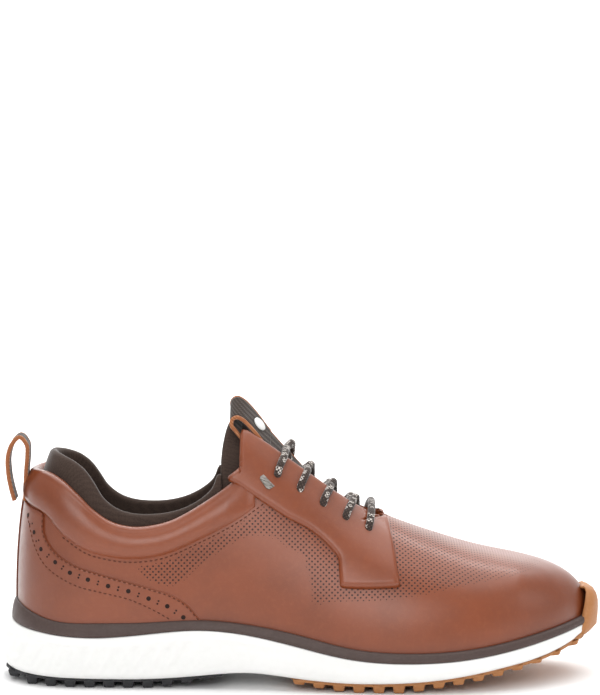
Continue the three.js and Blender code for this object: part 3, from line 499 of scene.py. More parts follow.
def braided(name, dark, fleck):
    n = Nodes(name, roughness=0.75, sheen=0.3, specular=0.3)
    uv = n.add("SeparateXYZ", {"Vector": n.coords.outputs["UV"]}).outputs
    strands = []
    for turn in (1.0, -1.0):  # two sets of strands that wind opposite ways
        slope = n.sum("MULTIPLY_ADD", uv["Y"], turn * 6.0, n.sum("MULTIPLY", uv["X"], 0.72))
        strands.append(n.sum("PINGPONG", slope, 0.5))
    weave = n.sum("MULTIPLY", strands[0], strands[1])
    cell = n.add("CombineXYZ", {"X": n.sum("FLOOR", n.sum("MULTIPLY", uv["X"], 0.75)),
                                     "Y": n.sum("FLOOR", n.sum("MULTIPLY", uv["Y"], 6.0))}).outputs[0]
    chance = n.add("TexWhiteNoise", {"Vector": cell}, noise_dimensions="3D").outputs["Value"]
    pale = n.sum("MULTIPLY", n.sum("GREATER_THAN", chance, 0.7), n.sum("GREATER_THAN", weave, 0.045))
    n.bump(weave, 0.5, 0.9)
    # painted shade: darker in the grooves between the strands
    shade = n.blend(dark, srgb(96, 78, 68), n.spread(weave, 0.02, 0.2, (0, 0.6)))
    return n.colour(n.blend(shade, fleck, pale))


brown = leather("brownLeather", perforated=True)
overlayBrown = leather("overlayLeather")
collarBrown = leather("collarLeather", darker=0.1)
facingBrown = leather("facingLeather")
threadBrown = moulded("brownThread", srgb(84, 40, 20), srgb(112, 60, 34), roughness=0.7, speck=1800,
                      bump=0.08)
stretch = knit("stretchKnit", srgb(48, 36, 31), srgb(80, 64, 55))
liningKnit = knit("liningKnit", srgb(30, 23, 21), srgb(52, 41, 35), threads=420)
darkWeb = webbing("darkWebbing", srgb(44, 33, 27), srgb(78, 62, 50))
tanWeb = webbing("tanBinding", srgb(150, 92, 58), srgb(192, 134, 92))
whiteFoam = moulded("whiteFoam", srgb(238, 238, 236), srgb(226, 226, 222), roughness=0.55, speck=300,
                    mottling=0.2, bump=0.04)
randRubber = moulded("randRubber", srgb(70, 55, 51), srgb(88, 72, 67), roughness=0.55, speck=700, bump=0.05)
blackRubber = moulded("blackRubber", srgb(42, 42, 44), srgb(62, 62, 64), roughness=0.62, speck=900, bump=0.06)
gumRubber = moulded("gumRubber", srgb(168, 112, 66), srgb(190, 138, 92), roughness=0.55, speck=700, bump=0.05)
laceCord = braided("laceBraid", srgb(48, 38, 34), srgb(206, 198, 190))
plateMetal = metal("eyeletMetal", srgb(120, 114, 108), srgb(186, 182, 176))
# dark discs for the brogue holes: painted shade inside the holes
holeShade = moulded("punchedHoleShade", srgb(34, 17, 11), srgb(52, 28, 18), roughness=0.85, speck=1200)
whiteMark = moulded("badgeEnamel", srgb(240, 240, 236), srgb(226, 226, 222), roughness=0.35, speck=700,
                    bump=0.02)
footbedKnit = knit("footbedCover", srgb(44, 34, 30), srgb(66, 54, 46), threads=380)
boardFibre = moulded("fibreBoard", srgb(176, 158, 128), srgb(206, 190, 160), roughness=0.85, speck=380,
                     mottling=0.6)
steelStrip = metal("springSteel", srgb(120, 122, 126), srgb(170, 172, 176))
gelPad = moulded("gelPad", srgb(96, 130, 138), srgb(120, 152, 158), roughness=0.3, speck=200)
print("materials made")


# the lines that part the upper, as [x, z] seen from the side
lines = {
    "topline": [(17.2, 107), (21, 107.6), (26, 107), (33.5, 103.4), (41, 97.4), (49.5, 89.6), (58, 84),
                (68, 81.4), (78, 81.8), (89, 84.6), (105, 93.4), (118.7, 103.2), (126, 109.4)],
    "collarSeam": [(11.6, 91.6), (17, 89.4), (25, 86), (33.5, 77.6), (46, 69.6), (58, 66.4), (68, 65.4),
                   (84, 67.2), (104.8, 76), (121, 84.6), (134, 93.6)],
    "sockTop": [(28, 118.6), (33, 116.8), (40, 113.6), (46, 108.4), (50, 102.4), (54, 96), (60, 91), (67, 88.4),
                (76, 87.6), (86, 88.4), (95, 91), (103, 95.6), (108.4, 101), (111, 108)],
    "foxingEdge": [(11.8, 91), (18, 88.6), (24.2, 86.2), (24.2, 83), (24.6, 76.6), (29.3, 68.9), (38.9, 62.4),
                   (51.6, 58), (72.8, 52.2), (88.9, 47), (96.3, 42.2), (103.6, 33.6)],
    "eyestayRear": [(117.6, 104.4), (120.7, 102.9), (132.5, 95.3), (146.9, 86.2), (157.6, 80.6), (164.4, 75.5),
                    (169.6, 70.5), (172.5, 66.6), (173.3, 60.2), (173.8, 53)],
    "eyestayFront": [(196.6, 76), (198.1, 69.6), (198.9, 64.4), (199.5, 59.7), (200.8, 52.9)],
}


def shares(line, side):  # an [u, z] line as [u, share]
    return np.stack([line[:, 0], shareOf(line[:, 0], line[:, 1], side)], 1)


def arcOf(u, share, side, steps=60):  # length along the section from the ridge
    t = np.linspace(0, 1, steps)[:, None]
    passed = t.reshape((-1,) + (1,) * np.ndim(u)) * share
    p = basePoint(np.broadcast_to(u, (steps,) + np.shape(u)), passed, side)
    return np.linalg.norm(np.diff(p, axis=0), axis=-1).sum(0)


def shareFrom(u, side, distance):  # the share at a distance from the ridge along the surface
    far = np.broadcast_to(distance, np.shape(u)).ravel()
    return np.array([np.interp(d, *ridgeWalk(a, side)) for a, d in zip(np.ravel(u), far)])


# the main skin: vamp and quarters in one
vampCut = {"rows": 46, "thickness": 1.4, "throatHalf": 17.5, "throatEnd": 197, "fieldTo": 281,
           "holes": 0.98}
fieldFoot = naturalCubic([(150, 41), (169.5, 44.5), (191, 45.3), (220, 49.3), (238.5, 52.2), (256.8, 53.9),
                          (285, 57.5)])
collarFoot = naturalCubic([(60, 66), (72, 65), (84, 67), (104.8, 76), (121, 84.6), (136, 95)])
quarterFoot = naturalCubic([(66, 60), (74, 56), (84, 51.5), (93, 53), (102, 61), (112, 68), (124, 74.6),
                            (133, 76.4), (142, 74), (150, 68.6), (156, 62), (159, 50), (162, 42)])


def punchedAt(p):  # how large the punched holes are at a point, from 0 to 1
    x, z = p[..., 0], p[..., 2]
    behind = np.clip((x - 157) / 3, 0, 1)
    front = np.clip((vampCut["fieldTo"] - x) / 60, 0, 1) ** 0.5
    above = np.clip((z - fieldFoot(x)) / 1.5, 0, 1)
    vampField = np.clip(behind, 0, 1) * front * above
    strip = np.clip((x - 70) / 5, 0, 1) * np.clip((162 - x) / 3, 0, 1)
    strip = strip * np.clip((z - quarterFoot(x)) / 1.5, 0, 1)
    strip = strip * np.clip((collarFoot(x) - 3.4 - z) / 0.8 + 1, 0, 1)
    return np.maximum(vampField, strip) * vampCut["holes"]


def skinTop(u, side, seam):  # the share at which the skin starts, under the collar and the facings
    end = vampCut["throatEnd"]
    near = np.clip((end - u) / 14, 0, 1)
    half = vampCut["throatHalf"] * np.sqrt(np.clip(1 - (1 - near) ** 2, 0, 1))
    throat = np.where(u > end, 0.0, shareFrom(u, side, half))
    seamShare = shareOf(u, np.interp(u, seam[:, 0], seam[:, 1]) + 2.4, side)
    t = np.clip((u - 118) / 14, 0, 1)
    return np.where(u < 132, seamShare * (1 - t) + shareFrom(u, side, vampCut["throatHalf"]) * t, throat)


halves = []
for side in (lateral, medial):
    seam = sideLine(lines["collarSeam"], side, 80)
    u = np.concatenate([np.linspace(-10, 45, 34), np.linspace(46.5, 185, 84), np.linspace(186, 200, 22),
                        np.linspace(202, 262, 40), np.linspace(264, 325, 36)])
    top = skinTop(u, side, seam)
    t = np.linspace(0, 1, vampCut["rows"])
    grid = np.cos(np.arccos(top)[:, None] * (1 - t[None, :]))
    stations = np.broadcast_to(u[:, None], grid.shape)
    points = onLast(stations, grid, side)
    arc = arcOf(stations, grid, side)
    # rows of holes run level beside the facings and follow the ridge in front
    level = arcOf(u, shareOf(u, 60.0, side), side)
    turnTo = np.clip((236 - u) / 46, 0, 1)
    turnTo = turnTo * turnTo * (3 - 2 * turnTo) * (u > 60)
    shiftBy = np.concatenate([[0], np.cumsum(-(turnTo[1:] + turnTo[:-1]) / 2 * np.diff(level))])
    arc = arc + (shiftBy - shiftBy[-1])[:, None]
    uv = np.stack([points[..., 0], arc], -1)
    halves.append(gridMesh(points, uv, punchedAt(points)))
mesh = wholeOf(halves)
skinPiece = newPiece("vampSkin", mesh, [brown])
addModifier(skinPiece, "SOLIDIFY", thickness=vampCut["thickness"] / 1000, offset=-1)
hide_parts("vamp")
print("main skin made")


def overlay(a, b, side, depth, cols, edge=0.8, ends=(True, True)):
    # a raised patch ruled between two [u, share] lines, with rolled edges
    reach = np.linalg.norm(onLast(a[:, 0], a[:, 1], side) - onLast(b[:, 0], b[:, 1], side), axis=-1)
    along = lengthAlong(onLast(a[:, 0], a[:, 1], side))
    a, b = (np.stack([line[:, 0], np.arccos(np.clip(line[:, 1], 0, 1))], 1) for line in (a, b))
    roll = np.array([0, 0.12, 0.35, 0.65, 1.0])
    height = np.sqrt(1 - (1 - roll) ** 2)
    rows = []
    inner = np.linspace(0, 1, cols)[1:-1]
    for k, share in enumerate(np.concatenate([roll, inner * 0 - 1, 1 + roll[::-1]])):
        if k < len(roll):
            t, h = np.minimum(roll[k] * edge / np.maximum(reach, 0.1), 0.49), height[k]
        elif share > 0.5:
            t = 1 - np.minimum((share - 1) * edge / np.maximum(reach, 0.1), 0.49)
            h = height[::-1][k - len(roll) - len(inner)]
        else:
            s = inner[k - len(roll)]
            e = np.minimum(edge / np.maximum(reach, 0.1), 0.49)
            t, h = e + (1 - 2 * e) * s, 1
        t = t[:, None]
        rows.append((a * (1 - t) + b * t, np.full(len(a), h)))
    fall = np.ones(len(a))
    for use, d in ((ends[0], along), (ends[1], along[-1] - along)):
        if use:
            s = np.clip(d / edge, 0, 1)
            fall = np.minimum(fall, np.sqrt(1 - (1 - s) ** 2))
    at = np.stack([r[0] for r in rows], 1)
    h = np.stack([r[1] for r in rows], 1) * fall[:, None]
    points = onLast(at[..., 0], np.cos(at[..., 1]), side, -0.35 + (depth + 0.35) * h)
    return gridMesh(points, np.stack([points[..., 0], points[..., 2]], -1))


foxing = {"depth": 1.0, "thickness": 0.9}
foxingLine = {}


def foxingFoot(edge):  # where the foxing meets the sole, at as many points as its upper edge has
    u = np.interp(np.linspace(0, 1, len(edge)), [0, 0.27, 1], [-10, 20, edge[-1, 0] + 1])
    return np.stack([u, np.ones(len(edge))], 1)


for side, name in ((lateral, "lateral"), (medial, "medial")):
    edge = shares(sideLine(lines["foxingEdge"], side, 110), side)
    edge[0, 0] = -10
    foxingLine[side] = edge
    mesh = overlay(edge, foxingFoot(edge), side, foxing["depth"], cols=26, ends=(False, True))
    outward(mesh)
    piece = newPiece("foxingSkin_" + name, mesh, [overlayBrown])
    addModifier(piece, "SOLIDIFY", thickness=foxing["thickness"] / 1000, offset=-1)
    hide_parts("foxing_" + name)
print("foxing made")

eyestay = {"depth": 1.0, "thickness": 1.6, "throatFrom": 14.4, "medialDrop": 2.8}
stayLines = {}
for side, name in ((lateral, "lateral"), (medial, "medial")):
    drop = eyestay["medialDrop"] if side == medial else 0
    rear = shares(sideLine(lines["eyestayRear"], side, 100, drop), side)
    xs = np.linspace(124, 195.4, 70)
    near = np.clip((197.6 - xs) / 9, 0, 1)
    half = eyestay["throatFrom"] * np.sqrt(1 - (1 - near) ** 2)
    throat = np.stack([xs, shareFrom(xs, side, half)], 1)
    cornerUp = shares(sideLine([(117.6, 104.4), (121.5, 107.2), (124.5, 109.8)], side, 8, drop), side)
    front = shares(sideLine(lines["eyestayFront"], side, 30, drop), side)
    front[0] = (throat[-1] + front[1]) / 2
    line = np.concatenate([cornerUp[:-1], throat, front])
    world = onLast(line[:, 0], line[:, 1], side)
    walked = lengthAlong(world)
    at = np.linspace(0, walked[-1], 100)
    line = np.stack([np.interp(at, walked, line[:, k]) for k in (0, 1)], 1)
    stayLines[side] = (rear, line)
    mesh = overlay(rear, line, side, eyestay["depth"], cols=22)
    outward(mesh)
    piece = newPiece("eyestaySkin_" + name, mesh, [facingBrown])
    addModifier(piece, "SOLIDIFY", thickness=eyestay["thickness"] / 1000, offset=-1)
    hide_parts("eyestay_" + name)
print("facings made")


# padded leather collar, rolled over at the top
collar = {"columns": 100, "puff": 2.3, "roll": 2.7, "outer": 0.7, "inner": -5.6}
halves = []
for side in (lateral, medial):
    seam = sideLine(lines["collarSeam"], side, 160)
    top = sideLine(lines["topline"], side, 160)
    u = np.concatenate([np.linspace(-10, 45, 30), np.linspace(47, 130, collar["columns"] - 30)])
    low = np.interp(u, seam[:, 0], seam[:, 1])
    high = np.interp(u, top[:, 0], top[:, 1])
    high = np.maximum(high, low + 7)
    r = collar["roll"]
    thin = np.clip((132 - u) / 16, 0.35, 1)
    rows = [(low - 0.4, np.full(len(u), -0.5)), (low - 0.1, np.full(len(u), 0.1)), (low + 0.5, 0.45 + 0 * u)]
    for s in np.linspace(0.08, 0.94, 12):
        puffed = math.sin(math.pi * min(1, s * 1.02)) ** 0.65
        rows.append((low + (high - r - low) * s, 0.45 + collar["puff"] * thin * puffed))
    outer, inner = collar["outer"], collar["inner"]
    for turn in np.linspace(0, math.pi, 11):
        depth = (outer + inner) / 2 + (outer - inner) / 2 * math.cos(turn)
        rows.append((high - r + r * math.sin(turn), depth + 0 * u))
    for down in (2, 5, 9, 14):
        rows.append((high - r - down, inner + 0 * u))
    z = np.stack([row[0] for row in rows], 1)
    d = np.stack([row[1] for row in rows], 1)
    stations = np.broadcast_to(u[:, None], z.shape)
    points = onLast(stations, shareOf(stations, z, side), side, d)
    halves.append(gridMesh(points, np.stack([points[..., 0], z], -1)))
mesh = wholeOf(halves)
piece = newPiece("collarPad", mesh, [collarBrown])
addModifier(piece, "SOLIDIFY", thickness=0.0009, offset=-1)
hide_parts("collar_panel", "collar_foam")
print("collar made")

# stretch sock inside the collar
sock = {"outer": -5.9, "inner": -10.9, "roll": 2.4, "front": 113.4}
halves = []
for side in (lateral, medial):
    top = sideLine(lines["sockTop"], side, 200, depth=-7)
    u = np.concatenate([np.linspace(-10, 45, 30), np.linspace(46.5, sock["front"], 60)])
    high = np.interp(u, top[:, 0], top[:, 1])
    seam = sideLine(lines["collarSeam"], side, 160)
    low = np.interp(u, seam[:, 0], seam[:, 1]) + 3
    r = sock["roll"]
    rows = []
    for s in np.linspace(0, 1, 10):
        rows.append((low + (high - r - low) * s, sock["outer"] - 0.5 + 0.5 * math.sin(math.pi * s) + 0 * u))
    mid, half = (sock["outer"] + sock["inner"]) / 2 - 0.25, (sock["outer"] - sock["inner"]) / 2 - 0.25
    for turn in np.linspace(0, math.pi, 10)[1:]:
        rows.append((high - r + r * math.sin(turn), mid + half * math.cos(turn) + 0 * u))
    for down in np.linspace(3, 34, 9):
        rows.append((high - r - down, sock["inner"] - 0.3 * math.sin(down / 4) + 0 * u))
    z = np.stack([row[0] for row in rows], 1)
    d = np.stack([row[1] for row in rows], 1)
    stations = np.broadcast_to(u[:, None], z.shape)
    points = onLast(stations, shareOf(stations, z, side), side, d)
    halves.append(gridMesh(points, np.stack([points[..., 0], z], -1)))
mesh = wholeOf(halves)
piece = newPiece("sockCollar", mesh, [stretch])
addModifier(piece, "SOLIDIFY", thickness=0.0011, offset=-1)
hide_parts("sock_collar")
print("sock collar made")

# inner lining
lining = {"depth": -3.7, "thickness": 0.7}
halves = []
for side in (lateral, medial):
    seam = sideLine(lines["collarSeam"], side, 80)
    u = np.concatenate([np.linspace(-10, 45, 22), np.linspace(47, 262, 80), np.linspace(265, 325, 20)])
    top = np.maximum(skinTop(u, side, seam), 0.0)
    t = np.linspace(0, 1, 22)
    grid = np.cos(np.arccos(top)[:, None] * (1 - t[None, :]))
    stations = np.broadcast_to(u[:, None], grid.shape)
    halves.append(gridMesh(onLast(stations, grid, side, lining["depth"])))
mesh = wholeOf(halves)
piece = newPiece("innerLining", mesh, [liningKnit])
addModifier(piece, "SOLIDIFY", thickness=lining["thickness"] / 1000, offset=-1)
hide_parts("lining")
print("lining made")


# sole
def offsetOutline(distance, every=3):
    ring = outline[::every]
    out = outlineOut[::every]
    return ring + out * np.broadcast_to(np.asarray(distance, float), len(ring))[:, None]


def wallMesh(levels, every=3, caps=True, change=None):  # a closed wall through rings of the outline
    rings = []
    for distance, height in levels:
        base = outline[::every]
        d = distance(base[:, 0]) if callable(distance) else distance
        ring = offsetOutline(d, every)
        rings.append(np.column_stack([ring, height(base[:, 0])]))
    rings = np.array(rings)
    if change:
        rings = change(rings, every)
    rings = np.concatenate([rings, rings[:, :1]], 1)
    mesh = gridMesh(rings, np.stack([rings[..., 0], rings[..., 2]], -1))
    weld(mesh, 0.01)
    if caps:
        bmesh.ops.holes_fill(mesh, edges=[e for e in mesh.edges if e.is_boundary], sides=0)
        bmesh.ops.triangulate(mesh, faces=[f for f in mesh.faces if len(f.verts) > 4])
    outward(mesh)
    return mesh


def mixed(a, b, t):
    return lambda x: a(x) * (1 - t) + b(x) * t


foamWall = {"fluteTo": 112, "flutePitch": 8.2, "fluteDepth": 1.3, "lean": 0.55}


def foamInset(x):
    return np.maximum(0.2, insetAt(x) - 4)


def fluted(rings, every):  # shallow slanting flutes round the heel, below a soft ridge
    out = outlineOut[::every]
    base = outline[::every]
    low, high = foamBottomAt(base[:, 0]), randBottomAt(base[:, 0])
    for ring in rings:
        t = (ring[:, 2] - low) / (high - low)
        fade = np.clip((foamWall["fluteTo"] - ring[:, 0]) / 20, 0, 1)
        fade = fade * np.clip((t - 0.1) / 0.15, 0, 1) * np.clip((0.78 - t) / 0.12, 0, 1)
        leant = ring[:, 0] - foamWall["lean"] * (ring[:, 2] - 5)
        wave = np.cos(2 * math.pi * leant / foamWall["flutePitch"])
        groove = -foamWall["fluteDepth"] * fade * (0.5 - 0.5 * np.sign(wave) * np.abs(wave) ** 0.6)
        line = 0.3 * np.exp(-((t - 0.82) / 0.05) ** 2) * np.clip((150 - ring[:, 0]) / 30, 0, 1)
        ring[:, :2] += out * (groove + line)[:, None]
    return rings


t = np.linspace(0, 1, 26)
profile = naturalCubic([(0, -2.6), (0.08, -1.2), (0.2, -0.4), (0.4, 0), (0.6, -0.1), (1, -0.1)])
share = naturalCubic([(0, 0), (0.4, 0), (0.6, 0.2), (0.8, 0.5), (1, 1)])
levels = [(-8, foamBottomAt), (-4.4, foamBottomAt)]
for s in t:
    levels.append(((lambda x, s=s: np.minimum(0, profile(s)) - np.clip(share(s), 0, 1) * foamInset(x)),
                   mixed(foamBottomAt, randBottomAt, s)))
levels += [((lambda x: -foamInset(x) - 3), randBottomAt)]
midsole = newPiece("foamMidsole", wallMesh(levels, 1, change=fluted), [whiteFoam])
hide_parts("midsole")


def randFoot(x):
    return -np.maximum(0, insetAt(x) - 4)


def randEdge(x):
    return -(insetAt(x) - 2.2)


levels = [((lambda x: randFoot(x) - 4), (lambda x: randBottomAt(x) + 0.25)),
          ((lambda x: randFoot(x) - 0.5), (lambda x: randBottomAt(x) + 0.25)),
          ((lambda x: randFoot(x) - 0.05), (lambda x: randBottomAt(x) + 0.6))]
for s in np.linspace(0.2, 0.86, 7):
    levels.append(((lambda x, s=s: randFoot(x) * (1 - s) + randEdge(x) * s + 0.5 * math.sin(math.pi * s)),
                   mixed(lambda x: randBottomAt(x) + 0.25, randTopAt, s)))
levels += [((lambda x: randEdge(x) - 0.15), (lambda x: randTopAt(x) - 0.25)),
           ((lambda x: randEdge(x) - 0.7), randTopAt),
           ((lambda x: randEdge(x) - 3.4), (lambda x: randTopAt(x) - 0.2))]
rand = newPiece("rand", wallMesh(levels, 2, caps=False), [randRubber])
addModifier(rand, "SOLIDIFY", thickness=0.0005, offset=-1)
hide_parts("midsole_rand")
print("midsole and rand made")

# outsoles: a thin plate each with rows of rounded lugs, and the toe bumper
tread = {"lugHeight": 4.0, "taper": 0.74, "plateInset": 4.4}


def groundAt(x):
    return np.maximum(0, treadAt(x))


def sideEdge(x, side):  # the sole's edge at x
    ring = np.vstack([outline, outline[:1]])
    hits = []
    for a, b in zip(ring[:-1], ring[1:]):
        if (a[0] - x) * (b[0] - x) <= 0 and a[0] != b[0]:
            hits.append(a[1] + (b[1] - a[1]) * (x - a[0]) / (b[0] - a[0]))
    return max(hits) if side > 0 else min(hits)


def lugMesh(x, y, length, width):
    mesh = bmesh.new()
    top = float(foamBottomAt(x)) - 0.8
    low = max(float(groundAt(x)), top - 1.1 - tread["lugHeight"])
    if top - low < 1.3:
        mesh.free()
        return None
    bmesh.ops.create_cube(mesh, size=1)
    for v in mesh.verts:
        scale = 1 if v.co.z > 0 else tread["taper"]
        v.co = Vector((x + v.co.x * length * scale, y + v.co.y * width * scale, top if v.co.z > 0 else low))
    slope = float(foamBottomAt(x + 1) - foamBottomAt(x - 1)) / 2
    for v in mesh.verts:
        if v.co.z > top - 0.1:
            v.co.z += (v.co.x - x) * slope
        else:
            v.co.z = max(v.co.z, float(groundAt(v.co.x)))
    upright = [e for e in mesh.edges]
    bmesh.ops.bevel(mesh, geom=upright, offset=0.75, segments=2, affect="EDGES", profile=0.5, material=-1)
    for v in mesh.verts:
        v.co = placed(v.co)
    return mesh


def treadPlate(x0, x1, bottom):
    xs = np.linspace(x0, x1, int((x1 - x0) / 3))
    table = []
    for x in xs:
        a, b = sideEdge(x, -1) + tread["plateInset"], sideEdge(x, 1) - tread["plateInset"]
        ends = min(1.0, math.sqrt(max(0.0, min((x - x0), (x1 - x)) / 5))) * 0.25 + 0.75
        mid, half = (a + b) / 2, (b - a) / 2 * ends
        ys = np.linspace(mid - half, mid + half, 16)
        table.append(np.column_stack([np.full(16, x), ys, np.full(16, float(foamBottomAt(x)) - 0.25)]))
    mesh = gridMesh(np.array(table))
    up = mesh.faces[:]
    made = bmesh.ops.extrude_face_region(mesh, geom=up)
    lower = [g for g in made["geom"] if isinstance(g, bmesh.types.BMVert)]
    bmesh.ops.translate(mesh, verts=lower, vec=(0, 0, -bottom / 1000))
    outward(mesh)
    return mesh


lugRows = {
    "heelTread": {"x": (3, 116), "first": 8, "pitch": 9.75, "rows": 11, "length": 6.4, "width": 10,
                  "apart": 19, "edge": 8.4},
    "frontTread": {"x": (146, 303), "first": 152, "pitch": 9.9, "rows": 15, "length": 6.6, "width": 10,
                   "apart": 19, "edge": 8.6},
}
for name, rows in lugRows.items():
    meshes = []
    x0, x1 = rows["x"]
    meshes.append(treadPlate(x0, min(x1, 296), 1.5))
    for row in range(rows["rows"]):
        x = rows["first"] + row * rows["pitch"]
        outer, inner = sideEdge(x, -1) + rows["edge"], sideEdge(x, 1) - rows["edge"]
        count = max(2, round((inner - outer) / rows["apart"]) + 1)
        for i in range(count):
            inside = 0 < i < count - 1
            shift = rows["pitch"] / 2 if inside and i % 2 else 0
            y = outer + (inner - outer) * i / (count - 1)
            made = lugMesh(x + shift, y, rows["length"], rows["width"] * (1 if inside else 0.9))
            if made:
                meshes.append(made)
    rows["mesh"] = joined(meshes)

# toe bumper: rows of (how far past the sole's edge, height), walked round the tip of the outline
bumper = {"rows": [(-7, 15), (-3.2, 14), (0.2, 17.5), (1.2, 21), (1.9, 25), (2.35, 29), (2.5, 33), (2.4, 37),
                   (1.6, 40.2), (0.1, 42.6), (-2.2, 44.2), (-4.6, 44.9), (-6.6, 44.6)],
          "halfLength": [(14, 30), (17.5, 28), (22, 22.5), (28, 19), (34, 16.5), (40, 13), (44.9, 8.5)],
          "columns": 70, "walk": 130, "inner": -3.4}
cols = bumper["columns"]
spread = np.linspace(-1, 1, cols)
front = np.argmax(outline[:, 0])
rolled = np.roll(outline, bumper["walk"] - front, 0)[:2 * bumper["walk"] + 1]
rolledOut = np.roll(outlineOut, bumper["walk"] - front, 0)[:2 * bumper["walk"] + 1]
walk = lengthAlong(rolled)
middle = walk[bumper["walk"]]
table = []
for reach, height in bumper["rows"]:
    halfLength = np.interp(height, *zip(*bumper["halfLength"]))
    at = middle + spread * halfLength
    p = np.column_stack([np.interp(at, walk, rolled[:, k]) for k in (0, 1)])
    n = np.column_stack([np.interp(at, walk, rolledOut[:, k]) for k in (0, 1)])
    thin = np.sqrt(np.clip(1 - np.abs(spread) ** 6, 0, 1))
    d = bumper["inner"] + (reach - bumper["inner"]) * (0.35 + 0.65 * thin)
    low = np.maximum(foamBottomAt(p[:, 0]) - 1.6, treadAt(np.minimum(p[:, 0], 303)))
    z = np.full(cols, float(height))
    z = np.where(height < 18, low + (height - 14) * 0.6, np.maximum(z, low + 1.5))
    table.append(np.column_stack([p + n * d[:, None], z]))
bumperMesh = gridMesh(np.array(table))
outward(bumperMesh)
piece = newPiece("heelTread", lugRows["heelTread"]["mesh"], [blackRubber])
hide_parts("heel_outsole")
piece = newPiece("frontTread", lugRows["frontTread"]["mesh"], [gumRubber])
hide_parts("forefoot_outsole")
bumperPiece = newPiece("toeBumper", bumperMesh, [gumRubber])
addModifier(bumperPiece, "SOLIDIFY", thickness=0.0012, offset=-1)
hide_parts("forefoot_outsole")
for piece in (bpy.data.objects["heelTread"], bpy.data.objects["frontTread"]):
    for face in piece.data.polygons:
        face.use_smooth = False
print("outsoles made")


# tongue: one soft piece from the vamp to its free top
tongue = {"outer": -7.6, "from": 113.2, "to": 211, "crown": 4.4}
tongueSide = naturalCubic([(100, 86), (112, 84), (140, 76), (175, 63), (216, 46)])
halves = []
for side in (lateral, medial):
    u = np.concatenate([np.linspace(tongue["from"], 116, 8), np.linspace(117.5, tongue["to"], 64)])
    edge = shareOf(u, tongueSide(u), side)
    t = np.linspace(0, 1, 26)
    grid = edge[:, None] * t[None, :]
    slant = np.clip((132 - u) / 22, 0, 1)[:, None] * 11 * np.clip(1 - grid / 0.62, 0, 1) ** 1.1
    stations = u[:, None] + slant
    back = np.clip((u - tongue["from"]) / 2.4, 0, 1)
    lift = -1.3 * (1 - np.sqrt(1 - (1 - back) ** 2))[:, None]
    crown = tongue["crown"] * np.clip((140 - stations) / 12, 0, 1) * np.clip(1 - grid / 0.5, 0, 1) ** 0.6
    depth = tongue["outer"] + lift + crown
    points = onLast(stations, grid, side, depth)
    halves.append(gridMesh(points, np.stack([points[..., 0], points[..., 2]], -1)))
mesh = wholeOf(halves)
tonguePiece = newPiece("tonguePad", mesh, [stretch], None)
addModifier(tonguePiece, "SOLIDIFY", thickness=0.0026, offset=-1)
addModifier(tonguePiece, "BEVEL", width=0.0008, segments=3, limit_method="ANGLE", angle_limit=0.9)
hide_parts("tongue", "tongue_top")
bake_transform(tonguePiece)
print("tongue made")


# webbing straps with bound edges
def strapMesh(centres, widths, half, thickness, part="face"):
    # centres and the edgewise direction at each, as tables of points
    tangent = np.gradient(centres, axis=0)
    tangent /= np.linalg.norm(tangent, axis=1)[:, None]
    widths = widths / np.linalg.norm(widths, axis=1)[:, None]
    out = np.cross(tangent, widths)
    out /= np.linalg.norm(out, axis=1)[:, None]
    if part == "face":
        across = np.linspace(-half + 0.9, half - 0.9, 12)
        ring = [(a, thickness / 2) for a in across] + [(a, -thickness / 2) for a in across[::-1]]
    else:  # a bound edge, round in section
        centre = half - 0.8 if part == "left" else -(half - 0.8)
        turns = np.linspace(0, 2 * math.pi, 13)[:-1]
        ring = [(centre + math.cos(t), (thickness / 2 + 0.2) * math.sin(t)) for t in turns]
    ring = np.array(ring + ring[:1])
    table = centres[:, None] + widths[:, None] * ring[None, :, :1] + out[:, None] * ring[None, :, 1:]
    mesh = gridMesh(table)
    weld(mesh, 0.005)
    bmesh.ops.holes_fill(mesh, edges=[e for e in mesh.edges if e.is_boundary], sides=0)
    outward(mesh)
    return mesh


def addStrap(name, centres, widths, half, thickness, body, node):
    for part, material in (("face", darkWeb), ("left", tanWeb), ("right", tanWeb)):
        mesh = strapMesh(centres, widths, half, thickness, part)
        piece = newPiece(name + "_" + part, mesh, [material], body)
        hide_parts(node)


# the loop lies over the outer slope of the tongue and folds back on itself above it
loop = {"half": 9.0, "thickness": 1.7, "tilt": 30, "anchorHalf": 7.6}
loopRoute = [(137.0, -4.4, 120.4), (134.6, -4.3, 123.4), (131.4, -4.1, 127.8), (127.4, -3.8, 132.6),
             (123.8, -3.4, 136.0), (120.8, -3.0, 137.4), (118.4, -3.0, 136.2), (118.0, -3.2, 133.2),
             (120.0, -3.6, 130.6), (122.6, -4.0, 127.4)]
centres = smoothLine(loopRoute, 80)
lean = math.radians(loop["tilt"])
widths = np.tile([0.0, -math.cos(lean), -math.sin(lean)], (80, 1))
addStrap("tongueLoop", centres, widths, loop["half"], loop["thickness"], "tongue_flap", "tongue_loop")
anchorRoute = [(136.6, -4.4, 120.8), (140, -4.2, 117.2), (144, -3.6, 113.2), (148, -3.0, 109.4),
               (153, -2.4, 104.4)]
anchorLine = smoothLine(anchorRoute, 24)
anchorLean = np.radians(np.linspace(loop["tilt"], 12, 24))
widths = np.stack([0 * anchorLean, -np.cos(anchorLean), -np.sin(anchorLean)], 1)
addStrap("loopAnchor", anchorLine, widths, loop["anchorHalf"] + 0.8, 1.6, "shoe", "tongue_loop_anchor")

